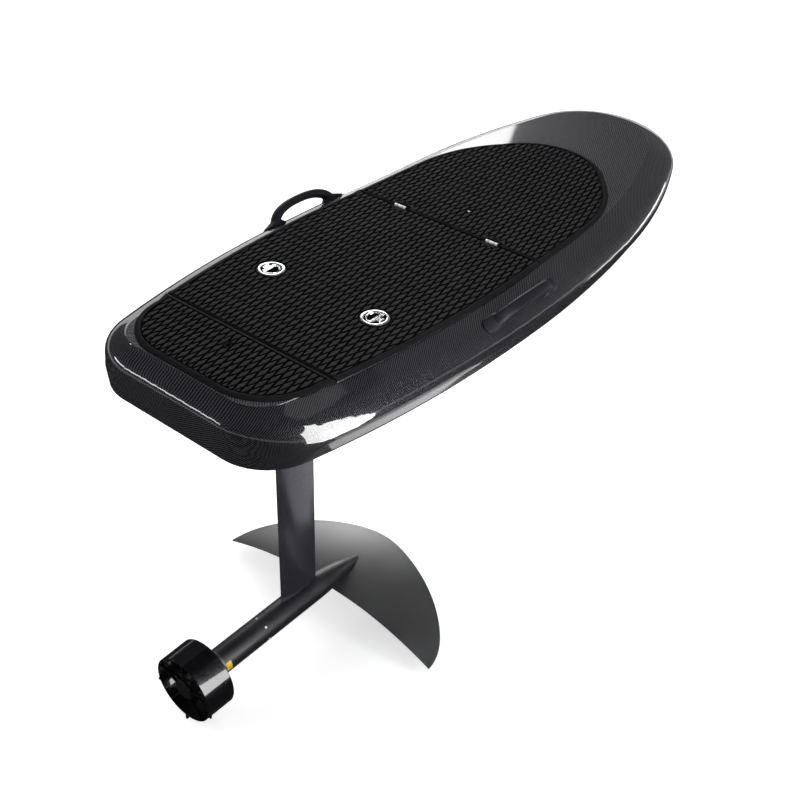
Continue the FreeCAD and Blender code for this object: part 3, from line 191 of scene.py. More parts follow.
def twill_group():
    """Two-over-two twill of carbon tows, laid over the deck and down the rails."""
    kit, given, result = new_group(
        "carbon twill",
        [("Place", VECTOR, None), ("Tow Width", FLOAT, 0.002)],
        [("Warp", FLOAT), ("Height", FLOAT)],
    )
    split = kit.add("ShaderNodeSeparateXYZ")
    kit.join(given["Place"], split.inputs[0])
    x, y, z = split.outputs
    side = kit.math("SUBTRACT", kit.math("ABSOLUTE", y), z)
    along = kit.math("DIVIDE", kit.math("SUBTRACT", x, kit.math("MULTIPLY", z, 0.5)), given["Tow Width"])
    across = kit.math("DIVIDE", side, given["Tow Width"])
    step = kit.math("ADD", kit.math("FLOOR", along), kit.math("FLOOR", across))
    over = kit.math("LESS_THAN", kit.math("FLOORED_MODULO", step, 4.0), 2.0)
    lift_warp = kit.math("ABSOLUTE", kit.math("SINE", kit.math("MULTIPLY", across, math.pi)))
    lift_weft = kit.math("ABSOLUTE", kit.math("SINE", kit.math("MULTIPLY", along, math.pi)))
    mix = kit.add("ShaderNodeMix")
    kit.feed(mix.inputs[0], over)
    kit.feed(mix.inputs[2], lift_weft)
    kit.feed(mix.inputs[3], lift_warp)
    kit.join(over, result["Warp"])
    kit.join(mix.outputs[0], result["Height"])
    return kit.tree


def grain_group():
    """Fine moulded grain with a broad cloudy change, for foam, rubber, plastic and paint."""
    kit, given, result = new_group(
        "moulded grain",
        [("Place", VECTOR, None), ("Fine Scale", FLOAT, 900.0), ("Cloud Scale", FLOAT, 9.0)],
        [("Fine", FLOAT), ("Cloud", FLOAT)],
    )
    kit.join(kit.noise(given["Place"], given["Fine Scale"], 4.0, 0.6), result["Fine"])
    kit.join(kit.noise(given["Place"], given["Cloud Scale"], 2.0), result["Cloud"])
    return kit.tree


def brushed_group():
    """Fine scratches drawn out along X, for metal and coated metal."""
    kit, given, result = new_group(
        "drawn scratches",
        [("Place", VECTOR, None), ("Stretch", VECTOR, (40.0, 900.0, 900.0))],
        [("Lines", FLOAT)],
    )
    scaled = kit.add("ShaderNodeVectorMath", operation="MULTIPLY")
    kit.join(given["Place"], scaled.inputs[0])
    kit.join(given["Stretch"], scaled.inputs[1])
    kit.join(kit.noise(scaled.outputs[0], 1.0, 3.0, 0.6), result["Lines"])
    return kit.tree


TWILL = twill_group()
GRAIN = grain_group()
BRUSHED = brushed_group()


def new_material(name):
    material = bpy.data.materials.new(name)
    material.use_nodes = True
    kit = Tree(material.node_tree)
    kit.nodes.clear()
    shader = kit.add("ShaderNodeBsdfPrincipled")
    end = kit.add("ShaderNodeOutputMaterial")
    kit.join(shader.outputs[0], end.inputs["Surface"])
    return material, kit, shader.inputs


def bump(kit, height, strength, distance):
    node = kit.add("ShaderNodeBump")
    kit.feed(node.inputs["Strength"], strength)
    kit.feed(node.inputs["Distance"], distance)
    kit.feed(node.inputs["Height"], height)
    return node.outputs["Normal"]


def grey(level, blue=1.0):
    return (level, level, level * blue, 1.0)


def carbon_finish():
    material, kit, shader = new_material("clear coated carbon")
    place = kit.place()
    weave = kit.group(TWILL, Place=place, Tow_Width=0.0018)
    grain = kit.group(GRAIN, Place=place, Fine_Scale=500.0, Cloud_Scale=6.0)
    # Painted sheen: the warp tows get a far lighter base colour than the weft tows, standing in for the
    # sheen along their fibres, though both are the same black carbon; the cloudy change of tone is the
    # fibre's own
    tone = kit.math("MULTIPLY", weave["Warp"], kit.remap(grain["Cloud"], 0.3, 0.7, 0.75, 1.0))
    kit.feed(shader["Base Color"], kit.blend(tone, grey(0.0016, 1.3), grey(0.044, 1.2)))
    kit.feed(shader["Roughness"], kit.remap(weave["Height"], 0.0, 1.0, 0.5, 0.34))
    shader["Specular IOR Level"].default_value = 0.06
    shader["Coat Weight"].default_value = 1.0
    shader["Coat Roughness"].default_value = 0.05
    shader["Coat IOR"].default_value = 1.5
    kit.feed(shader["Normal"], bump(kit, weave["Height"], 0.35, 0.0002))
    return material


def grained_finish(name, dark, light, rough, fine=900.0, depth=0.00015, coat=0.0, coat_rough=0.1,
                   specular=0.5, metallic=0.0, blue=1.0):
    material, kit, shader = new_material(name)
    grain = kit.group(GRAIN, Place=kit.place(), Fine_Scale=fine, Cloud_Scale=11.0)
    fine_part = kit.math("MULTIPLY", grain["Fine"], 0.6)
    tone = kit.math("ADD", fine_part, kit.math("MULTIPLY", grain["Cloud"], 0.4))
    kit.feed(
        shader["Base Color"],
        kit.blend(kit.remap(tone, 0.35, 0.65, 0.0, 1.0), grey(dark, blue), grey(light, blue)),
    )
    kit.feed(shader["Roughness"], kit.remap(grain["Cloud"], 0.3, 0.7, rough * 0.92, min(rough * 1.08, 1.0)))
    shader["Specular IOR Level"].default_value = specular
    shader["Metallic"].default_value = metallic
    shader["Coat Weight"].default_value = coat
    shader["Coat Roughness"].default_value = coat_rough
    kit.feed(shader["Normal"], bump(kit, grain["Fine"], 0.4, depth))
    return material


def metal_finish(name, tone, rough, stretch, depth=0.00004, metallic=1.0, blue=1.02, specular=0.5):
    material, kit, shader = new_material(name)
    place = kit.place()
    lines = kit.group(BRUSHED, Place=place, Stretch=stretch)["Lines"]
    grain = kit.group(GRAIN, Place=place, Fine_Scale=1200.0, Cloud_Scale=16.0)
    kit.feed(
        shader["Base Color"],
        kit.blend(kit.remap(lines, 0.3, 0.7, 0.0, 1.0), grey(tone * 0.86, blue), grey(tone, blue)),
    )
    kit.feed(shader["Roughness"], kit.remap(grain["Cloud"], 0.3, 0.7, rough * 0.85, rough * 1.15))
    shader["Specular IOR Level"].default_value = specular
    shader["Metallic"].default_value = metallic
    kit.feed(shader["Normal"], bump(kit, lines, 0.25, depth))
    return material


CARBON = carbon_finish()
FOAM = grained_finish("deck pad foam", 0.0095, 0.021, 0.9, 700.0, 0.0006, specular=0.12, blue=1.08)
# Painted shade: the groove floors and walls are the same foam as the pad, coloured near black for the shade
# that falls in the grooves
PAINTED_GROOVE_SHADE = grained_finish("deck pad groove painted shade", 0.0008, 0.0016, 0.95, 1500.0, 0.0003, specular=0.05)
PAD_RIM = grained_finish("deck pad rim", 0.0035, 0.006, 0.85, 900.0, 0.0004, specular=0.1, blue=1.08)
# Near black with almost no shine: used for the hinge leaves and the leash plug, and as painted shade in the
# latch cups and on the deck screw
BLACK_PARTS_AND_RECESS_SHADE = grained_finish("black parts and painted recess shade", 0.001, 0.002, 0.8, 1400.0, 0.0001, specular=0.05)
BLACK_PLASTIC = grained_finish("black plastic", 0.008, 0.013, 0.45, 1400.0, 0.0001)
BATTERY_CASE = grained_finish("battery case", 0.02, 0.032, 0.5, 1100.0, 0.0002)
SEAL_RUBBER = grained_finish("seal rubber", 0.008, 0.014, 0.75, 1600.0, 0.0002)
HANDLE_RUBBER = grained_finish(
    "handle rubber", 0.0065, 0.0105, 0.5, 1600.0, 0.0002, specular=0.12, blue=1.35
)
ZINC = metal_finish("zinc plated steel", 0.85, 0.35, (260.0, 260.0, 900.0), metallic=0.3)
STEEL = metal_finish("polished steel", 0.74, 0.2, (260.0, 260.0, 900.0))
MAST_COAT = metal_finish("anodised mast", 0.062, 0.2, (900.0, 900.0, 30.0), 0.00001, metallic=0.6, blue=1.25)
WING_COAT = grained_finish("satin wing paint", 0.016, 0.021, 0.40, 1500.0, 0.00006, specular=0.6, blue=1.08)
FOIL_COAT = metal_finish(
    "anodised fuselage", 0.012, 0.36, (30.0, 900.0, 900.0), metallic=0.0, blue=1.15, specular=0.22
)
DUCT_GLOSS = grained_finish(
    "gloss duct plastic", 0.0035, 0.0055, 0.2, 60.0, 0.0012,
    specular=0.12, coat=0.45, coat_rough=0.04, blue=1.2,
)
PROP_PLASTIC = grained_finish("propeller plastic", 0.006, 0.010, 0.4, 1300.0, 0.0001)
STICKER = grained_finish("blank yellow sticker", 0.5, 0.62, 0.45, 800.0, 0.00003)


def sticker_colour():
    """The blank sticker is one clear yellow with a faint change of tone."""
    kit = Tree(STICKER.node_tree)
    mix = next(node for node in kit.nodes if node.bl_idname == "ShaderNodeMix")
    mix.inputs[6].default_value = (0.78, 0.50, 0.012, 1.0)
    mix.inputs[7].default_value = (0.86, 0.58, 0.02, 1.0)


sticker_colour()

FINISH_OF_NODE = {
    "hull": CARBON,
    "hatch_lid": CARBON,
    "rear_pad": FOAM,
    "front_pad": FOAM,
    "hatch_pad": FOAM,
    "leash_plug": BLACK_PARTS_AND_RECESS_SHADE,
    # The deck screw is coloured near black for the shade of its hole: painted shade
    "deck_screw": BLACK_PARTS_AND_RECESS_SHADE,
    "battery": BATTERY_CASE,
    "hatch_seal": SEAL_RUBBER,
    "handle_port": HANDLE_RUBBER,
    "handle_starboard": HANDLE_RUBBER,
    "mast_plate": FOIL_COAT,
    "mast_bolts": STEEL,
    "mast": MAST_COAT,
    "front_wing": WING_COAT,
    "fuselage": FOIL_COAT,
    "motor_pod": FOIL_COAT,
    "duct_ring": DUCT_GLOSS,
    "duct_collar": BLACK_PLASTIC,
    "duct_spider": DUCT_GLOSS,
    "duct_fin": DUCT_GLOSS,
    "duct_tabs": DUCT_GLOSS,
    "propeller": PROP_PLASTIC,
    "prop_shaft": STEEL,
}
for side in ("port", "starboard"):
    for label in ("hinge_pin", "latch_bezel", "latch_ring"):
        FINISH_OF_NODE[label + "_" + side] = STEEL
    for label in ("hinge_fixed", "hinge_leaf"):
        FINISH_OF_NODE[label + "_" + side] = BLACK_PARTS_AND_RECESS_SHADE

for name, thing in NODES.items():
    finish = FINISH_OF_NODE[name]
    if not thing.data.materials:
        thing.data.materials.append(finish)
    for index in range(len(thing.data.materials)):
        thing.data.materials[index] = finish

# Pieces: mesh helpers


def new_piece(name, mesh, body, slot, *materials):
    for material in materials:
        mesh.materials.append(material)
    piece = bpy.data.objects.new(name, mesh)
    bpy.context.scene.collection.objects.link(piece)
    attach(piece, body)
    return piece


def mesh_of(build, name, smooth=True):
    mesh = bpy.data.meshes.new(name)
    bmesh.ops.recalc_face_normals(build, faces=build.faces)
    build.to_mesh(mesh)
    build.free()
    mesh.polygons.foreach_set("use_smooth", [smooth] * len(mesh.polygons))
    return mesh


def sharpen(piece, degrees):
    """Smooth shading that stays crisp at edges sharper than the angle."""
    mesh = piece.data
    mesh.polygons.foreach_set("use_smooth", [True] * len(mesh.polygons))
    build = bmesh.new()
    build.from_mesh(mesh)
    limit = math.radians(degrees)
    for edge in build.edges:
        edge.smooth = len(edge.link_faces) == 2 and edge.calc_face_angle(math.pi) < limit
    build.to_mesh(mesh)
    build.free()


def bridge_rings(build, rings, closed=True):
    """Quads between rings of vertices, each ring the same length."""
    faces = []
    for low, high in zip(rings, rings[1:]):
        count = len(low)
        for i in range(count if closed else count - 1):
            j = (i + 1) % count
            faces.append(build.faces.new((low[i], low[j], high[j], high[i])))
    return faces


def closed_rings(build, rings):
    """A closed body carried through rings of vertices, with a face over each end."""
    bridge_rings(build, rings)
    build.faces.new(rings[-1])
    build.faces.new(list(reversed(rings[0])))


# Deck pads: a rim with soft edges round a field of raised diamonds, with painted shade in the grooves
# between them

DIAMOND_LONG = 0.057
DIAMOND_WIDE = 0.016
GROOVE_WIDE = 0.0048
GROOVE_DEEP = 0.0030
EDGE_RIM = 0.0125
EDGE_SLOPE = 0.0034
SPLIT_RIM = {"rear_pad": 0.0065, "front_pad": 0.0040, "hatch_pad": 0.0016}
SPLIT_X = (-0.1242, 0.5267)
NOTCH_Y = 0.175
HOLE_RIM = 0.0022
# The rolled rim of a pad: the share of the rim's width, and the share of the drop (None: the underside).
RIM_PROFILE = (
    (0.0, None), (0.0, 1.0), (0.12, 0.78), (0.35, 0.40), (0.62, 0.10), (0.86, 0.0), (1.0, 0.12)
)


def top_loops(node):
    """Outline loops of a pad's upper face, as lists of (x, y); the outline comes first."""
    build = bmesh.new()
    build.from_mesh(NODES[node].data)
    bmesh.ops.remove_doubles(build, verts=build.verts, dist=1e-6)
    build.normal_update()
    middle = {}

    def is_top(face):
        centre = face.calc_center_median()
        return face.normal.z > 0.9 and centre.z > DECK_Z + deck_rise(centre.x) + 0.003

    for edge in build.edges:
        if len(edge.link_faces) == 2:
            first, second = (is_top(face) for face in edge.link_faces)
            if first != second:
                a, b = edge.verts
                middle.setdefault(a.index, []).append(b.index)
                middle.setdefault(b.index, []).append(a.index)
    build.verts.ensure_lookup_table()
    loops = []
    left = set(middle)
    while left:
        start = min(left)
        chain = [start]
        left.discard(start)
        here = start
        while True:
            ahead = [i for i in middle[here] if i in left]
            if not ahead:
                break
            here = ahead[0]
            left.discard(here)
            chain.append(here)
        loops.append([(build.verts[i].co.x, build.verts[i].co.y) for i in chain])
    build.free()
    loops.sort(key=lambda points: -abs(signed_area(points)))
    return [np.array(loop) for loop in loops if len(loop) > 3]


def signed_area(points):
    points = np.asarray(points)
    x, y = points[:, 0], points[:, 1]
    return 0.5 * float(np.sum(x * np.roll(y, -1) - y * np.roll(x, -1)))


def clean_loop(points, shortest=0.0004):
    kept = [points[0]]
    for point in points[1:]:
        if np.hypot(*(point - kept[-1])) > shortest:
            kept.append(point)
    if np.hypot(*(kept[0] - kept[-1])) <= shortest:
        kept.pop()
    return np.array(kept)


def inset_loop(points, amounts):
    """Each run of the loop moved to its left by its own amount, with mitred corners."""
    after = np.roll(points, -1, axis=0) - points
    after = after / np.linalg.norm(after, axis=1)[:, None]
    left = np.stack([-after[:, 1], after[:, 0]], axis=1)
    before = np.roll(left, 1, axis=0)
    ahead = amounts
    behind = np.roll(amounts, 1)
    shared = np.sum(left * before, axis=1)
    square = 1.0 - shared ** 2
    straight = square < 0.02
    safe = np.where(straight, 1.0, square)
    along_before = ((behind - ahead * shared) / safe)[:, None]
    along_left = ((ahead - behind * shared) / safe)[:, None]
    corner = along_before * before + along_left * left
    flat = (0.5 * (ahead + behind))[:, None] * (before + left) / np.maximum(1.0 + shared, 0.3)[:, None]
    return points + np.where(straight[:, None], flat, corner)


def is_split_run(points):
    """True for the runs that lie on the split lines between two pads, or in a hinge notch."""
    ahead = np.roll(points, -1, axis=0)
    middle = 0.5 * (points + ahead)
    across = np.abs(ahead[:, 0] - points[:, 0]) < 0.35 * np.abs(ahead[:, 1] - points[:, 1])
    near = np.minimum(np.abs(middle[:, 0] - SPLIT_X[0]), np.abs(middle[:, 0] - SPLIT_X[1]))
    notch = (np.abs(middle[:, 0] - SPLIT_X[1]) < 0.02) & (np.abs(middle[:, 1]) < NOTCH_Y)
    return (across & (near < 0.004)) | notch


def reach_to(points, loop):
    """For each point: distance to the loop and the nearest place on it."""
    start = loop
    end = np.roll(loop, -1, axis=0)
    run = end - start
    length = np.maximum(np.sum(run * run, axis=1), 1e-12)
    offset = points[:, None, :] - start[None, :, :]
    share = np.clip(np.sum(offset * run[None], axis=2) / length[None], 0.0, 1.0)
    spot = start[None] + share[:, :, None] * run[None]
    gap = np.linalg.norm(points[:, None, :] - spot, axis=2)
    best = np.argmin(gap, axis=1)
    rows = np.arange(len(points))
    return gap[rows, best], spot[rows, best]


def inside_loop(points, loop):
    x, y = points[:, 0][:, None], points[:, 1][:, None]
    ax, ay = loop[:, 0][None], loop[:, 1][None]
    bx, by = np.roll(loop[:, 0], -1)[None], np.roll(loop[:, 1], -1)[None]
    crosses = (ay > y) != (by > y)
    with np.errstate(divide="ignore", invalid="ignore"):
        at = (bx - ax) * (y - ay) / (by - ay) + ax
    return np.sum(crosses & (x < at), axis=1) % 2 == 1


def keep_within(points, loops, margins):
    """Moves points that are outside the field onto its edge."""
    moved = points.copy()
    for index, (loop, margin) in enumerate(zip(loops, margins)):
        gap, spot = reach_to(moved, loop)
        inside = inside_loop(moved, loop)
        good_side = inside if index == 0 else ~inside
        signed = np.where(good_side, gap, -gap)
        away = (moved - spot) * np.where(good_side, 1.0, -1.0)[:, None]
        size = np.maximum(np.linalg.norm(away, axis=1), 1e-9)
        short = np.maximum(margin - signed, 0.0)
        moved = moved + away / size[:, None] * short[:, None]
    return moved


def diamond_corners(centre, scale):
    half_long = DIAMOND_LONG / 2.0 * scale
    half_wide = DIAMOND_WIDE / 2.0 * scale
    blunt = 0.06
    points = []
    for x, y in ((1, 0), (0, 1), (-1, 0), (0, -1)):
        if x:
            points += [
                (x * half_long * (1 - blunt), -x * half_wide * blunt),
                (x * half_long * (1 - blunt), x * half_wide * blunt),
            ]
        else:
            points += [(0.0, y * half_wide)]
    return np.array(points) + np.asarray(centre)


def subdivided(points, count):
    ahead = np.roll(points, -1, axis=0)
    shares = np.arange(count) / count
    return np.concatenate([p + (q - p) * shares[:, None] for p, q in zip(points, ahead)])


def diamond_shapes(loops, margins):
    """Plan shapes of all diamonds of one pad, trimmed to its field."""
    outline = loops[0]
    low = outline.min(axis=0)
    high = outline.max(axis=0)
    pitch = math.hypot(DIAMOND_LONG, DIAMOND_WIDE)
    lane = DIAMOND_LONG * DIAMOND_WIDE / pitch
    scale = 1.0 - GROOVE_WIDE / lane
    full = abs(signed_area(diamond_corners((0, 0), scale)))
    shapes = []
    first = math.floor(low[0] / (DIAMOND_LONG / 2.0)) - 1
    last = math.ceil(high[0] / (DIAMOND_LONG / 2.0)) + 1
    rows = math.ceil(max(abs(low[1]), abs(high[1])) / DIAMOND_WIDE) + 1
    for column in range(first, last + 1):
        shift = 0.5 if column % 2 else 0.0
        for row in range(-rows, rows + 1):
            centre = (column * DIAMOND_LONG / 2.0, (row + shift) * DIAMOND_WIDE)
            corners = diamond_corners(centre, scale)
            moved = keep_within(corners, loops, margins)
            if np.allclose(corners, moved, atol=1e-6):
                near_hole = any(
                    reach_to(np.array([centre]), hole)[0][0] < DIAMOND_LONG / 2.0 for hole in loops[1:]
                )
                if not near_hole:
                    shapes.append(corners)
                    continue
            for piece in split_round_holes(corners, loops[1:]):
                fine = keep_within(subdivided(piece, 7), loops, margins)
                fine = keep_within(fine, loops, margins)
                fine = clean_loop(fine, 0.0005)
                if len(fine) > 3 and abs(signed_area(fine)) > 0.10 * full:
                    shapes.append(fine)
    return shapes


def clipped(points, x, side):
    """The part of a convex loop on one side of a line across the board."""
    kept = []
    for here, ahead in zip(points, np.roll(points, -1, axis=0)):
        near, far = side * (here[0] - x), side * (ahead[0] - x)
        if near >= 0:
            kept.append(here)
        if near * far < 0:
            kept.append(here + (ahead - here) * near / (near - far))
    return np.array(kept)


def split_round_holes(corners, holes):
    """A diamond with a hole in its middle becomes a piece each side of the hole."""
    for hole in holes:
        centre = hole.mean(axis=0)
        if inside_loop(np.array([centre]), corners)[0]:
            reach = np.abs(hole[:, 0] - centre[0]).max() + GROOVE_WIDE * 0.5
            pieces = [clipped(corners, centre[0] + side * reach, side) for side in (-1, 1)]
            return [piece for piece in pieces if len(piece) > 2]
    return [corners]


def add_diamond(build, points, lift):
    centre = points.mean(axis=0)
    rings = []
    for scale, fall in ((1.03, GROOVE_DEEP + 0.0003), (1.0, 0.0007), (0.965, 0.00015), (0.91, 0.0)):
        ring = []
        for x, y in centre + (points - centre) * scale:
            ring.append(build.verts.new((x, y, lift(x) - fall)))
        rings.append(ring)
    # The diamond's wall down into the groove takes the near-black groove colour: painted shade
    for face in bridge_rings(build, rings[:2]):
        face.material_index = 1
    bridge_rings(build, rings[1:])
    build.faces.new(rings[-1])
    build.faces.new(list(reversed(rings[0])))


def fill_between(build, loops, height):
    """A flat sheet between an outline and its holes, cut across so that it can follow the deck."""
    sheet = bmesh.new()
    edges = []
    for loop in loops:
        verts = [sheet.verts.new((x, y, 0.0)) for x, y in loop]
        edges += [sheet.edges.new((verts[i], verts[(i + 1) % len(verts)])) for i in range(len(verts))]
    bmesh.ops.triangle_fill(sheet, edges=edges, use_beauty=True, use_dissolve=False)
    low = min(float(loop[:, 0].min()) for loop in loops)
    high = max(float(loop[:, 0].max()) for loop in loops)
    x = max(low, RISE_START_X) + 0.03
    while x < high:
        parts = list(sheet.verts) + list(sheet.edges) + list(sheet.faces)
        bmesh.ops.bisect_plane(sheet, geom=parts, plane_co=(x, 0, 0), plane_no=(1, 0, 0), dist=1e-6)
        x += 0.03
    copies = {vert: build.verts.new((vert.co.x, vert.co.y, height(vert.co.x))) for vert in sheet.verts}
    faces = [build.faces.new([copies[vert] for vert in face.verts]) for face in sheet.faces]
    sheet.free()
    return faces


def split_long(points, longest=0.03):
    spots = []
    for point, ahead in zip(points, np.roll(points, -1, axis=0)):
        count = max(1, math.ceil(np.hypot(*(ahead - point)) / longest))
        spots += [point + (ahead - point) * i / count for i in range(count)]
    return np.array(spots)


def grooved_pad(name, node, body):
    loops = [clean_loop(loop) for loop in top_loops(node)]
    if signed_area(loops[0]) < 0:
        loops[0] = loops[0][::-1]
    for i in range(1, len(loops)):
        if signed_area(loops[i]) > 0:
            loops[i] = loops[i][::-1]
    build = bmesh.new()

    def top(x):
        return PAD_TOP + deck_rise(x)

    def floor(x):
        return top(x) - GROOVE_DEEP

    def under(x):
        return DECK_Z + deck_rise(x) + 0.00005

    field_loops = []
    under_loops = []
    for index, loop in enumerate(loops):
        loop = split_long(loop)
        if index == 0:
            split = is_split_run(loop)
            wide = np.where(split, SPLIT_RIM[node], EDGE_RIM)
            slope = np.where(split, 0.0009, EDGE_SLOPE)
        else:
            wide = np.full(len(loop), HOLE_RIM)
            slope = np.full(len(loop), 0.0006)
        at_corner = np.minimum(slope, np.roll(slope, 1))
        rings = []
        for share, fall in RIM_PROFILE:
            ring = []
            for (x, y), drop in zip(inset_loop(loop, wide * share), at_corner):
                z = under(x) if fall is None else top(x) - drop * fall
                ring.append(build.verts.new((x, y, z)))
            rings.append(ring)
        for face in bridge_rings(build, rings):
            face.material_index = 2
        field = inset_loop(loop, wide + 0.0003)
        wall = [build.verts.new((x, y, floor(x))) for x, y in field]
        # The wall from the rim down to the groove floor takes the near-black groove colour: painted shade
        for face in bridge_rings(build, [rings[-1], wall]):
            face.material_index = 1
        field_loops.append(field)
        under_loops.append(loop)
    # The groove floor round the diamonds is coloured near black: painted shade
    for face in fill_between(build, field_loops, floor):
        face.material_index = 1
    fill_between(build, under_loops, under)
    for shape in diamond_shapes(field_loops, [GROOVE_WIDE * 0.55] * len(field_loops)):
        add_diamond(build, shape, top)
    bmesh.ops.remove_doubles(build, verts=build.verts, dist=1e-7)
    mesh = mesh_of(build, name)
    piece = new_piece(name, mesh, body, "deck_foam", FOAM, PAINTED_GROOVE_SHADE, PAD_RIM)
    sharpen(piece, 32.0)
    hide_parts(node)
    return piece


grooved_pad("grooved_pad_rear", "rear_pad", "board")
grooved_pad("grooved_pad_front", "front_pad", "board")
grooved_pad("grooved_pad_hatch", "hatch_pad", "hatch")

# Latches: a flanged steel cup whose floor and low walls carry painted shade, and a folding plate with a
# finger hole


def lathe(build, profile, centre, steps=72):
    rings = []
    for radius, height in profile:
        rings.append(
            [
                build.verts.new(
                    (
                        centre[0] + radius * math.cos(2 * math.pi * i / steps),
                        centre[1] + radius * math.sin(2 * math.pi * i / steps),
                        centre[2] + height,
                    )
                )
                for i in range(steps)
            ]
        )
    bridge_rings(build, rings)
    return rings


def latch_cup(name, node, y):
    build = bmesh.new()
    flange = [
        (0.0236, 0.0006), (0.0236, 0.0046), (0.0240, 0.0055), (0.0250, 0.0060), (0.0270, 0.0061),
        (0.0292, 0.0058), (0.0305, 0.0053), (0.0310, 0.0050), (0.0300, 0.0048), (0.0300, 0.0004),
    ]
    rings = lathe(build, flange, (LATCH_X, y, DECK_Z))
    bridge_rings(build, [rings[-1], rings[0]])
    # Painted shade: the cup's floor and the faces low in its walls, under the plate, take the near-black
    # material
    floor_rings = lathe(build, [(0.0238, 0.0004), (0.0238, 0.0010), (0.0234, 0.0012)], (LATCH_X, y, DECK_Z))
    faces = [build.faces.new(floor_rings[-1]), build.faces.new(list(reversed(floor_rings[0])))]
    for face in faces:
        face.material_index = 1
    for face in build.faces:
        if face.calc_center_median().z < DECK_Z + 0.0030:
            face.material_index = 1
    mesh = mesh_of(build, name)
    piece = new_piece(name, mesh, "hatch", "steel", STEEL, BLACK_PARTS_AND_RECESS_SHADE)
    sharpen(piece, 40.0)
    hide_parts(node)
    return piece


def plate_outline(radius, steps=96):
    """Folding plate in plan: a disc with a notch at each end of its pivot."""
    points = []
    for i in range(steps):
        angle = 2 * math.pi * i / steps
        reach = radius
        for notch in (math.radians(48), math.radians(132)):
            near = abs(math.atan2(math.sin(angle - notch), math.cos(angle - notch)))
            reach -= 0.0085 * max(0.0, 1.0 - (near / math.radians(17)) ** 2)
        points.append((reach * math.cos(angle), reach * math.sin(angle)))
    return points


def finger_hole(steps=96):
    """Half-moon hole on the inboard half, one point for each point of the outline."""
    points = []
    for i in range(steps):
        angle = 2 * math.pi * i / steps
        x = 0.0166 * math.cos(angle)
        y = min(0.0166 * math.sin(angle), 0.0006)
        points.append((x, y - 0.0006))
    return points


def latch_plate(name, node, y, side):
    build = bmesh.new()
    outer = plate_outline(0.0203)
    inner = finger_hole()
    turn = 1.0 if side > 0 else -1.0

    def ring(points, shrink, height):
        verts = []
        for px, py in points:
            length = math.hypot(px, py) or 1.0
            scale = (length + shrink) / length
            verts.append(
                build.verts.new((LATCH_X + turn * px * scale, y + turn * py * scale, DECK_Z + height))
            )
        return verts

    rings = [
        ring(inner, 0.0, 0.0032),
        ring(outer, 0.0, 0.0032),
        ring(outer, 0.0, 0.0054),
        ring(outer, -0.0005, 0.0060),
        ring(outer, -0.0014, 0.0061),
        ring(inner, 0.0014, 0.0058),
        ring(inner, 0.0004, 0.0052),
        ring(inner, 0.0, 0.0044),
        ring(inner, 0.0, 0.0032),
    ]
    bridge_rings(build, rings)
    bmesh.ops.remove_doubles(build, verts=build.verts, dist=1e-6)
    mesh = mesh_of(build, name)
    piece = new_piece(name, mesh, "hatch", "steel", STEEL)
    sharpen(piece, 40.0)
    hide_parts(node)
    return piece


def latch_pivot(name, y, side):
    """A short barrel across the outboard edge of the plate."""
    middle = Vector((LATCH_X, y + side * 0.0168, DECK_Z + 0.0048))
    return barrel(name, middle, 0.0050, 0.0022, "hatch", STEEL, 0)


def barrel(name, middle, half, radius, body, finish, axis):
    """A short round bar with eased ends, along X (0) or Y (1)."""
    build = bmesh.new()
    steps = 28
    rings = []
    for along, reach in (
        (-half, radius * 0.7), (-half + 0.0003, radius * 0.93), (-half + 0.0007, radius),
        (half - 0.0007, radius), (half - 0.0003, radius * 0.93), (half, radius * 0.7),
    ):
        ring = []
        for i in range(steps):
            angle = 2 * math.pi * i / steps
            across, up = reach * math.cos(angle), reach * math.sin(angle)
            spot = Vector((along, across, up)) if axis == 0 else Vector((across, along, up))
            ring.append(build.verts.new(middle + spot))
        rings.append(ring)
    closed_rings(build, rings)
    mesh = mesh_of(build, name)
    piece = new_piece(name, mesh, body, "steel", finish)
    sharpen(piece, 40.0)
    return piece


for label, side in (("port", 1), ("starboard", -1)):
    latch_cup("latch_cup_" + label, "latch_bezel_" + label, side * LATCH_Y)
    latch_plate("latch_plate_" + label, "latch_ring_" + label, side * LATCH_Y, side)
    latch_pivot("latch_pivot_" + label, side * LATCH_Y, side)

# Hinges: bright sleeves round the knuckles, two on the deck and one on the lid

HINGE_X = 0.5267
HINGE_Z = 0.0950
HINGE_Y = 0.1370
SLEEVE_RADIUS = 0.0037

for label, side in (("port", 1), ("starboard", -1)):
    for part, shift, half, body in (
        ("outer", 0.0124, 0.0048, "board"),
        ("middle", 0.0, 0.0073, "hatch"),
        ("inner", -0.0124, 0.0048, "board"),
    ):
        spot = Vector((HINGE_X, side * (HINGE_Y + shift), HINGE_Z))
        barrel("hinge_sleeve_%s_%s" % (part, label), spot, half, SLEEVE_RADIUS, body, ZINC, 1)

# Handles: a broad arched grip growing out of two wedge-shaped feet, moulded in one

HANDLE_X = 0.381
HANDLE_Y = 0.320
HANDLE_Z = 0.066
HANDLE_TILT = math.radians(35.0)
ARCH_SPAN = 0.100
ARCH_RISE = 0.0392
ARCH_SUNK = 0.012
ARCH_POWER = 0.82
ARCH_STEPS = 48
GRIP_THICK = 0.0100
GRIP_HALF_WIDE = 0.0130
FOOT_TOP = 0.0055


def rounded_section(half_wide, half_high, steps=28, power=3.2):
    points = []
    for i in range(steps):
        angle = 2 * math.pi * i / steps
        across, up = math.cos(angle), math.sin(angle)
        points.append(
            (
                half_wide * math.copysign(abs(across) ** (2.0 / power), across),
                half_high * math.copysign(abs(up) ** (2.0 / power), up),
            )
        )
    return points


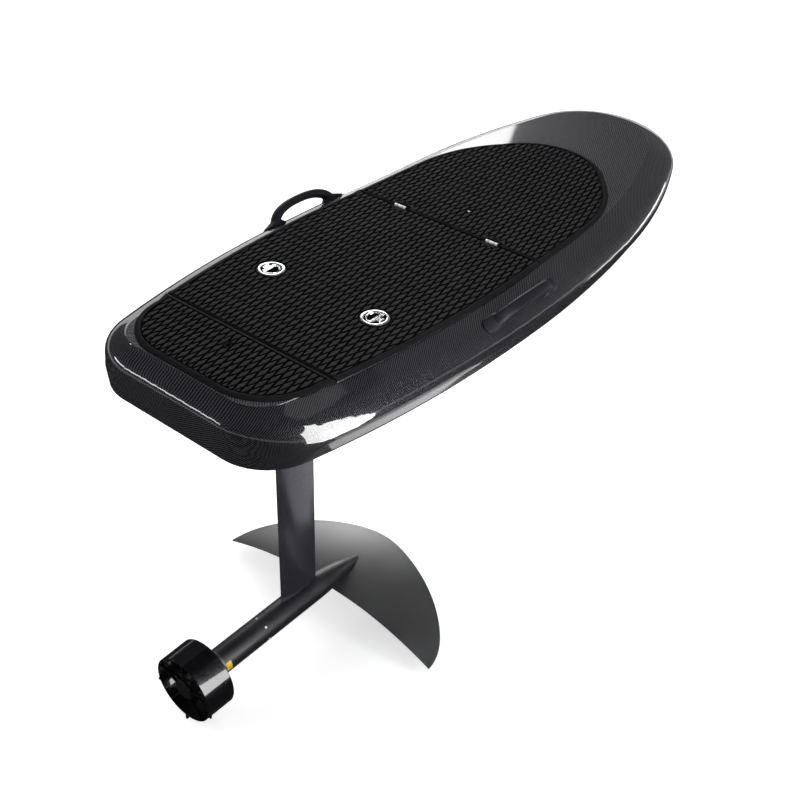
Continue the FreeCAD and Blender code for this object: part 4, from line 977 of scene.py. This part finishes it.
def add_grip(build):
    """The arch: a broad section carried along a rounded bow."""
    spots = []
    for i in range(ARCH_STEPS + 1):
        angle = math.pi * i / ARCH_STEPS
        along, up = math.cos(angle), math.sin(angle)
        reach = ARCH_SPAN * math.copysign(abs(along) ** ARCH_POWER, along)
        spots.append(
            Vector((reach, 0.0, (ARCH_RISE + ARCH_SUNK) * up ** ARCH_POWER - ARCH_SUNK))
        )
    rings = []
    for i, spot in enumerate(spots):
        ahead = spots[min(i + 1, 48)] - spots[max(i - 1, 0)]
        out = Vector((-ahead.z, 0.0, ahead.x)).normalized() * -1.0
        rings.append(
            [
                build.verts.new(spot + Vector((0, across, 0)) + out * up)
                for across, up in rounded_section(GRIP_HALF_WIDE, GRIP_THICK)
            ]
        )
    closed_rings(build, rings)


def add_wedge(build, end):
    """A foot: tall where the grip leaves it and thin at its tip."""
    rings = []
    for along, top, half_wide in (
        (0.080, 0.0090, 0.0165), (0.086, 0.0150, 0.0175), (0.098, 0.0170, 0.0178),
        (0.108, 0.0135, 0.0176), (0.120, 0.0090, 0.0168), (0.131, 0.0060, 0.0120),
    ):
        low = 0.0025
        ring = []
        for across, up in rounded_section(half_wide, (top - low) / 2.0, power=2.6):
            ring.append(build.verts.new((end * along, across, (top + low) / 2.0 + up)))
        rings.append(ring)
    closed_rings(build, rings)


def moulded_handle(name, node, side):
    """Grip and wedges join the frame's own foot pads, which follow the rail."""
    seat = Matrix.Translation((HANDLE_X, side * HANDLE_Y, HANDLE_Z)) @ Matrix.Rotation(
        -side * HANDLE_TILT, 4, "X"
    )
    build = bmesh.new()
    build.from_mesh(NODES[node].data)
    bmesh.ops.transform(build, matrix=seat.inverted(), verts=build.verts)
    bmesh.ops.remove_doubles(build, verts=build.verts, dist=1e-6)
    parts = list(build.verts) + list(build.edges) + list(build.faces)
    bmesh.ops.bisect_plane(
        build, geom=parts, plane_co=(0, 0, FOOT_TOP), plane_no=(0, 0, 1), dist=1e-6, clear_outer=True
    )
    bmesh.ops.holes_fill(build, edges=[edge for edge in build.edges if edge.is_boundary])
    add_grip(build)
    for end in (-1, 1):
        add_wedge(build, end)
    bmesh.ops.transform(build, matrix=seat, verts=build.verts)
    mesh = mesh_of(build, name)
    piece = bpy.data.objects.new(name, mesh)
    bpy.context.scene.collection.objects.link(piece)
    remesh = piece.modifiers.new("moulded", "REMESH")
    remesh.mode = "VOXEL"
    remesh.voxel_size = 0.0014
    soften = piece.modifiers.new("soften", "SMOOTH")
    soften.factor = 0.5
    soften.iterations = 5
    bpy.context.view_layer.update()
    shown = piece.evaluated_get(bpy.context.evaluated_depsgraph_get())
    moulded = bpy.data.meshes.new_from_object(shown)
    piece.modifiers.clear()
    piece.data = moulded
    moulded.materials.clear()
    moulded.materials.append(HANDLE_RUBBER)
    moulded.polygons.foreach_set("use_smooth", [True] * len(moulded.polygons))
    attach(piece, "board")
    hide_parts(node)
    return piece


moulded_handle("moulded_handle_port", "handle_port", 1)
moulded_handle("moulded_handle_starboard", "handle_starboard", -1)

# Screws: button heads with a six-sided socket, each sunk a little into what it holds


def screw(name, place, axis, radius, body):
    build = bmesh.new()
    steps = 24
    axis = Vector(axis).normalized()
    turn = axis.to_track_quat("Z", "Y").to_matrix()
    rings = []
    profile = [
        (radius * 0.96, -radius * 0.3), (radius, 0.0), (radius * 0.94, radius * 0.24),
        (radius * 0.72, radius * 0.42), (radius * 0.52, radius * 0.46), (radius * 0.47, radius * 0.42),
        (radius * 0.45, radius * 0.08),
    ]
    for index, (reach, height) in enumerate(profile):
        ring = []
        for i in range(steps):
            angle = 2 * math.pi * i / steps
            here = reach
            if index >= 4:
                sector = (angle % (math.pi / 3)) - math.pi / 6
                here = reach * math.cos(math.pi / 6) / math.cos(sector)
            spot = Vector((here * math.cos(angle), here * math.sin(angle), height))
            ring.append(build.verts.new(Vector(place) + turn @ spot))
        rings.append(ring)
    closed_rings(build, rings)
    mesh = mesh_of(build, name)
    piece = new_piece(name, mesh, body, "steel", ZINC)
    sharpen(piece, 35.0)
    return piece


def pod_screw(name, x, degrees):
    angle = math.radians(degrees)
    out = Vector((0, math.sin(angle), math.cos(angle)))
    place = Vector((x, 0, FOIL_AXIS_Z)) + out * (POD_RADIUS - 0.0004)
    screw(name, place, out, 0.0028, "board")


for index, degrees in enumerate((17.0, -43.0, -103.0, -163.0, 137.0, 77.0)):
    pod_screw("pod_screw_%d" % (index + 1), -0.137, degrees)

screw("deck_screw_socket", (0.6195, -0.0012, DECK_Z + 0.0042), (0.25, -0.35, 1.0), 0.0032, "board")


def pod_sticker(name, x_low, x_high, degrees_low, degrees_high):
    """A thin blank label that wraps the pod."""
    build = bmesh.new()
    grid = []
    for i in range(9):
        angle = math.radians(degrees_low + (degrees_high - degrees_low) * i / 8)
        row = []
        for k in range(5):
            x = x_low + (x_high - x_low) * k / 4
            edge = 0.00005 if i in (0, 8) or k in (0, 4) else 0.00022
            reach = POD_RADIUS + edge
            row.append(
                build.verts.new((x, reach * math.sin(angle), FOIL_AXIS_Z + reach * math.cos(angle)))
            )
        grid.append(row)
    for low, high in zip(grid, grid[1:]):
        for k in range(4):
            build.faces.new((low[k], low[k + 1], high[k + 1], high[k]))
    mesh = mesh_of(build, name)
    return new_piece(name, mesh, "board", "foil_coat", STICKER)


pod_sticker("blank_sticker", -0.2775, -0.2595, -98.0, -58.0)

# Studio: pale floor, white surround, soft lights

FLOOR_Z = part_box("duct_fin")[0].z - 0.004
FLOOR_X = 0.4
FLOOR_RADII = (0.4, 1.5, 4.0, 12.0, 40.0)
CARD_LIFT = 0.002
WINDOW_LIFT = 0.003
CANOPY_STEP = 5


def seen_by_rays(kit):
    """1 for camera, glossy and transmission rays, 0 for the rays that carry the light."""
    path = kit.add("ShaderNodeLightPath")
    seen = kit.math("MAXIMUM", path.outputs["Is Camera Ray"], path.outputs["Is Glossy Ray"])
    return kit.math("MAXIMUM", seen, path.outputs["Is Transmission Ray"])


def studio_surface(material, lit_by, glow):
    """A diffuse white that also shows as background to the camera and in reflections."""
    kit = Tree(material.node_tree)
    kit.nodes.clear()
    seen = seen_by_rays(kit)
    place = kit.place()
    tone = kit.remap(kit.noise(place, 1.5, 2.0), 0.3, 0.7, lit_by - 0.01, lit_by)
    mix = kit.add("ShaderNodeCombineColor")
    for socket in mix.inputs[:3]:
        kit.feed(socket, tone)
    diffuse = kit.add("ShaderNodeBsdfDiffuse")
    kit.feed(diffuse.inputs["Color"], mix.outputs[0])
    shine = kit.add("ShaderNodeEmission")
    kit.feed(shine.inputs["Strength"], kit.math("MULTIPLY", seen, glow))
    total = kit.add("ShaderNodeAddShader")
    kit.join(diffuse.outputs[0], total.inputs[0])
    kit.join(shine.outputs[0], total.inputs[1])
    end = kit.add("ShaderNodeOutputMaterial")
    kit.join(total.outputs[0], end.inputs["Surface"])


def flat_ring(build, radius, steps, x, z):
    turns = [2 * math.pi * i / steps for i in range(steps)]
    return [
        build.verts.new((radius * math.cos(turn) + x, radius * math.sin(turn), z)) for turn in turns
    ]


def make_floor():
    build = bmesh.new()
    rings = [flat_ring(build, radius, 64, FLOOR_X, FLOOR_Z) for radius in FLOOR_RADII]
    build.faces.new(rings[0])
    bridge_rings(build, rings)
    mesh = mesh_of(build, "studio_floor")
    floor = bpy.data.objects.new("studio_floor", mesh)
    material = bpy.data.materials.new("pale studio floor")
    material.use_nodes = True
    studio_surface(material, 0.82, 0.56)
    mesh.materials.append(material)
    bpy.context.scene.collection.objects.link(floor)


def make_surround():
    world = bpy.data.worlds.new("white surround")
    world.use_nodes = True
    bpy.context.scene.world = world
    kit = Tree(world.node_tree)
    kit.nodes.clear()
    seen = seen_by_rays(kit)
    back = kit.add("ShaderNodeBackground")
    back.inputs["Color"].default_value = (1.0, 1.0, 1.0, 1.0)
    kit.feed(back.inputs["Strength"], kit.remap(seen, 0.0, 1.0, 0.55, 1.0))
    end = kit.add("ShaderNodeOutputWorld")
    kit.join(back.outputs[0], end.inputs["Surface"])


def soft_light(name, place, target, wide, high, power):
    data = bpy.data.lights.new(name, "AREA")
    data.shape = "RECTANGLE"
    data.size = wide
    data.size_y = high
    data.energy = power
    lamp = bpy.data.objects.new(name, data)
    place = Vector(place)
    lamp.location = place
    lamp.rotation_mode = "QUATERNION"
    lamp.rotation_quaternion = (place - Vector(target)).to_track_quat("Z", "Y")
    bpy.context.scene.collection.objects.link(lamp)
    lamp.visible_camera = False
    return lamp


BOARD_MIDDLE = Vector((0.4, 0.0, 0.0))
QUARTER = Vector((-0.2, -0.3, 0.03))


def towards(azimuth, elevation, reach, start=BOARD_MIDDLE):
    turn = math.radians(azimuth)
    lift = math.radians(elevation)
    way = Vector((math.cos(turn) * math.cos(lift), math.sin(turn) * math.cos(lift), math.sin(lift)))
    return Vector(start) + way * reach


def dark_card(name, mesh, tone):
    """A studio flag: only reflections see it."""
    material = bpy.data.materials.new(name)
    material.use_nodes = True
    kit = Tree(material.node_tree)
    kit.nodes.clear()
    level = kit.remap(kit.noise(kit.place(), 0.6, 2.0), 0.3, 0.7, tone * 0.8, tone * 1.2)
    shine = kit.add("ShaderNodeEmission")
    kit.feed(shine.inputs["Strength"], level)
    end = kit.add("ShaderNodeOutputMaterial")
    kit.join(shine.outputs[0], end.inputs["Surface"])
    mesh.materials.append(material)
    card = bpy.data.objects.new(name, mesh)
    bpy.context.scene.collection.objects.link(card)
    card.visible_camera = False
    card.visible_diffuse = False
    card.visible_shadow = False
    card.visible_transmission = False
    card.visible_volume_scatter = False
    return card


def canopy_card(name, reach, tone):
    """A dark dome round the board."""
    build = bmesh.new()
    turns = range(-180, 180, CANOPY_STEP)
    rows = [
        [build.verts.new(towards(azimuth, elevation, reach)) for azimuth in turns]
        for elevation in range(0, 90, CANOPY_STEP)
    ]
    bridge_rings(build, rows)
    build.faces.new(rows[-1])
    dark_card(name, mesh_of(build, name), tone)


def sky_card(name, centre, reach, tone, outline):
    """A card bent to a sphere round a point; its outline is given as azimuths and elevations."""
    build = bmesh.new()
    fine = []
    for here, ahead in zip(outline, outline[1:] + outline[:1]):
        count = max(1, math.ceil(math.dist(here, ahead) / 4.0))
        fine += [
            [here[k] + (ahead[k] - here[k]) * i / count for k in (0, 1)] for i in range(count)
        ]
    middle = [sum(spot[k] for spot in fine) / len(fine) for k in (0, 1)]
    rings = []
    for share in (1.0, 0.75, 0.5, 0.25):
        rings.append(
            [
                build.verts.new(
                    towards(*(middle[k] + (spot[k] - middle[k]) * share for k in (0, 1)), reach, centre)
                )
                for spot in fine
            ]
        )
    bridge_rings(build, rings)
    build.faces.new(rings[-1])
    dark_card(name, mesh_of(build, name), tone)


def floor_window(name, west, east, south, north, tone):
    """A pale card lying on the floor."""
    build = bmesh.new()
    corners = ((west, south), (east, south), (east, north), (west, north))
    build.faces.new([build.verts.new((x, y, FLOOR_Z + WINDOW_LIFT)) for x, y in corners])
    dark_card(name, mesh_of(build, name), tone)


def floor_card(name, radius, tone):
    build = bmesh.new()
    build.faces.new(flat_ring(build, radius, 48, BOARD_MIDDLE.x, FLOOR_Z + CARD_LIFT))
    dark_card(name, mesh_of(build, name), tone)


make_floor()
make_surround()
canopy_card("dark_canopy", 7.0, 0.05)
floor_card("dark_floor_card", 6.0, 0.03)
floor_window("pale_floor_card", 0.25, 1.0, -1.1, -0.2, 1.25)
sky_card(
    "grey_forward_card", BOARD_MIDDLE, 6.6, 0.2,
    [(-60, 7), (33.1, 7), (33.1, 28.8), (62, 28.8), (62, 60), (-60, 60)],
)
sky_card("white_port_card", BOARD_MIDDLE, 6.6, 8.0, [(33.2, 2), (60, 2), (60, 28.65), (33.2, 28.65)])
sky_card("top_card", BOARD_MIDDLE, 6.6, 0.6, [(-60, 64), (60, 64), (60, 80), (-60, 80)])
sky_card(
    "white_quarter_card", QUARTER, 1.4, 20.0,
    [(-104, -20), (-104, 30), (-76, 58), (-65, 48), (-66.5, 12), (-58, -37), (-75, -33)],
)
sky_card(
    "white_nose_strip", BOARD_MIDDLE, 3.2, 9.0,
    [
        (-13, 5), (-13, 0.5), (-20, -0.5), (-27, -3.5), (-33, -10.5),
        (-36.3, -12.5), (-36.3, -7.5), (-33, -5.5), (-27, 2), (-20, 4.5),
    ],
)
soft_light("overhead_softbox", (1.3, 0.1, 3.2), (0.7, 0.0, 0.0), 2.2, 1.6, 38.0).visible_glossy = False
soft_light("port_softbox", towards(58, 14, 4.0), BOARD_MIDDLE, 1.4, 1.4, 50.0).visible_glossy = False
soft_light("starboard_softbox", towards(-72, 16, 3.6), BOARD_MIDDLE, 1.0, 1.3, 40.0).visible_glossy = False
soft_light("wing_softbox", (1.2, 0.5, -0.25), (0.25, -0.1, -0.77), 0.7, 0.5, 5.0)
soft_light("tail_strip", towards(140, 12, 3.4), (-0.3, 0, 0), 2.2, 0.22, 22.0)

scene = bpy.context.scene
scene.view_settings.view_transform = "Standard"
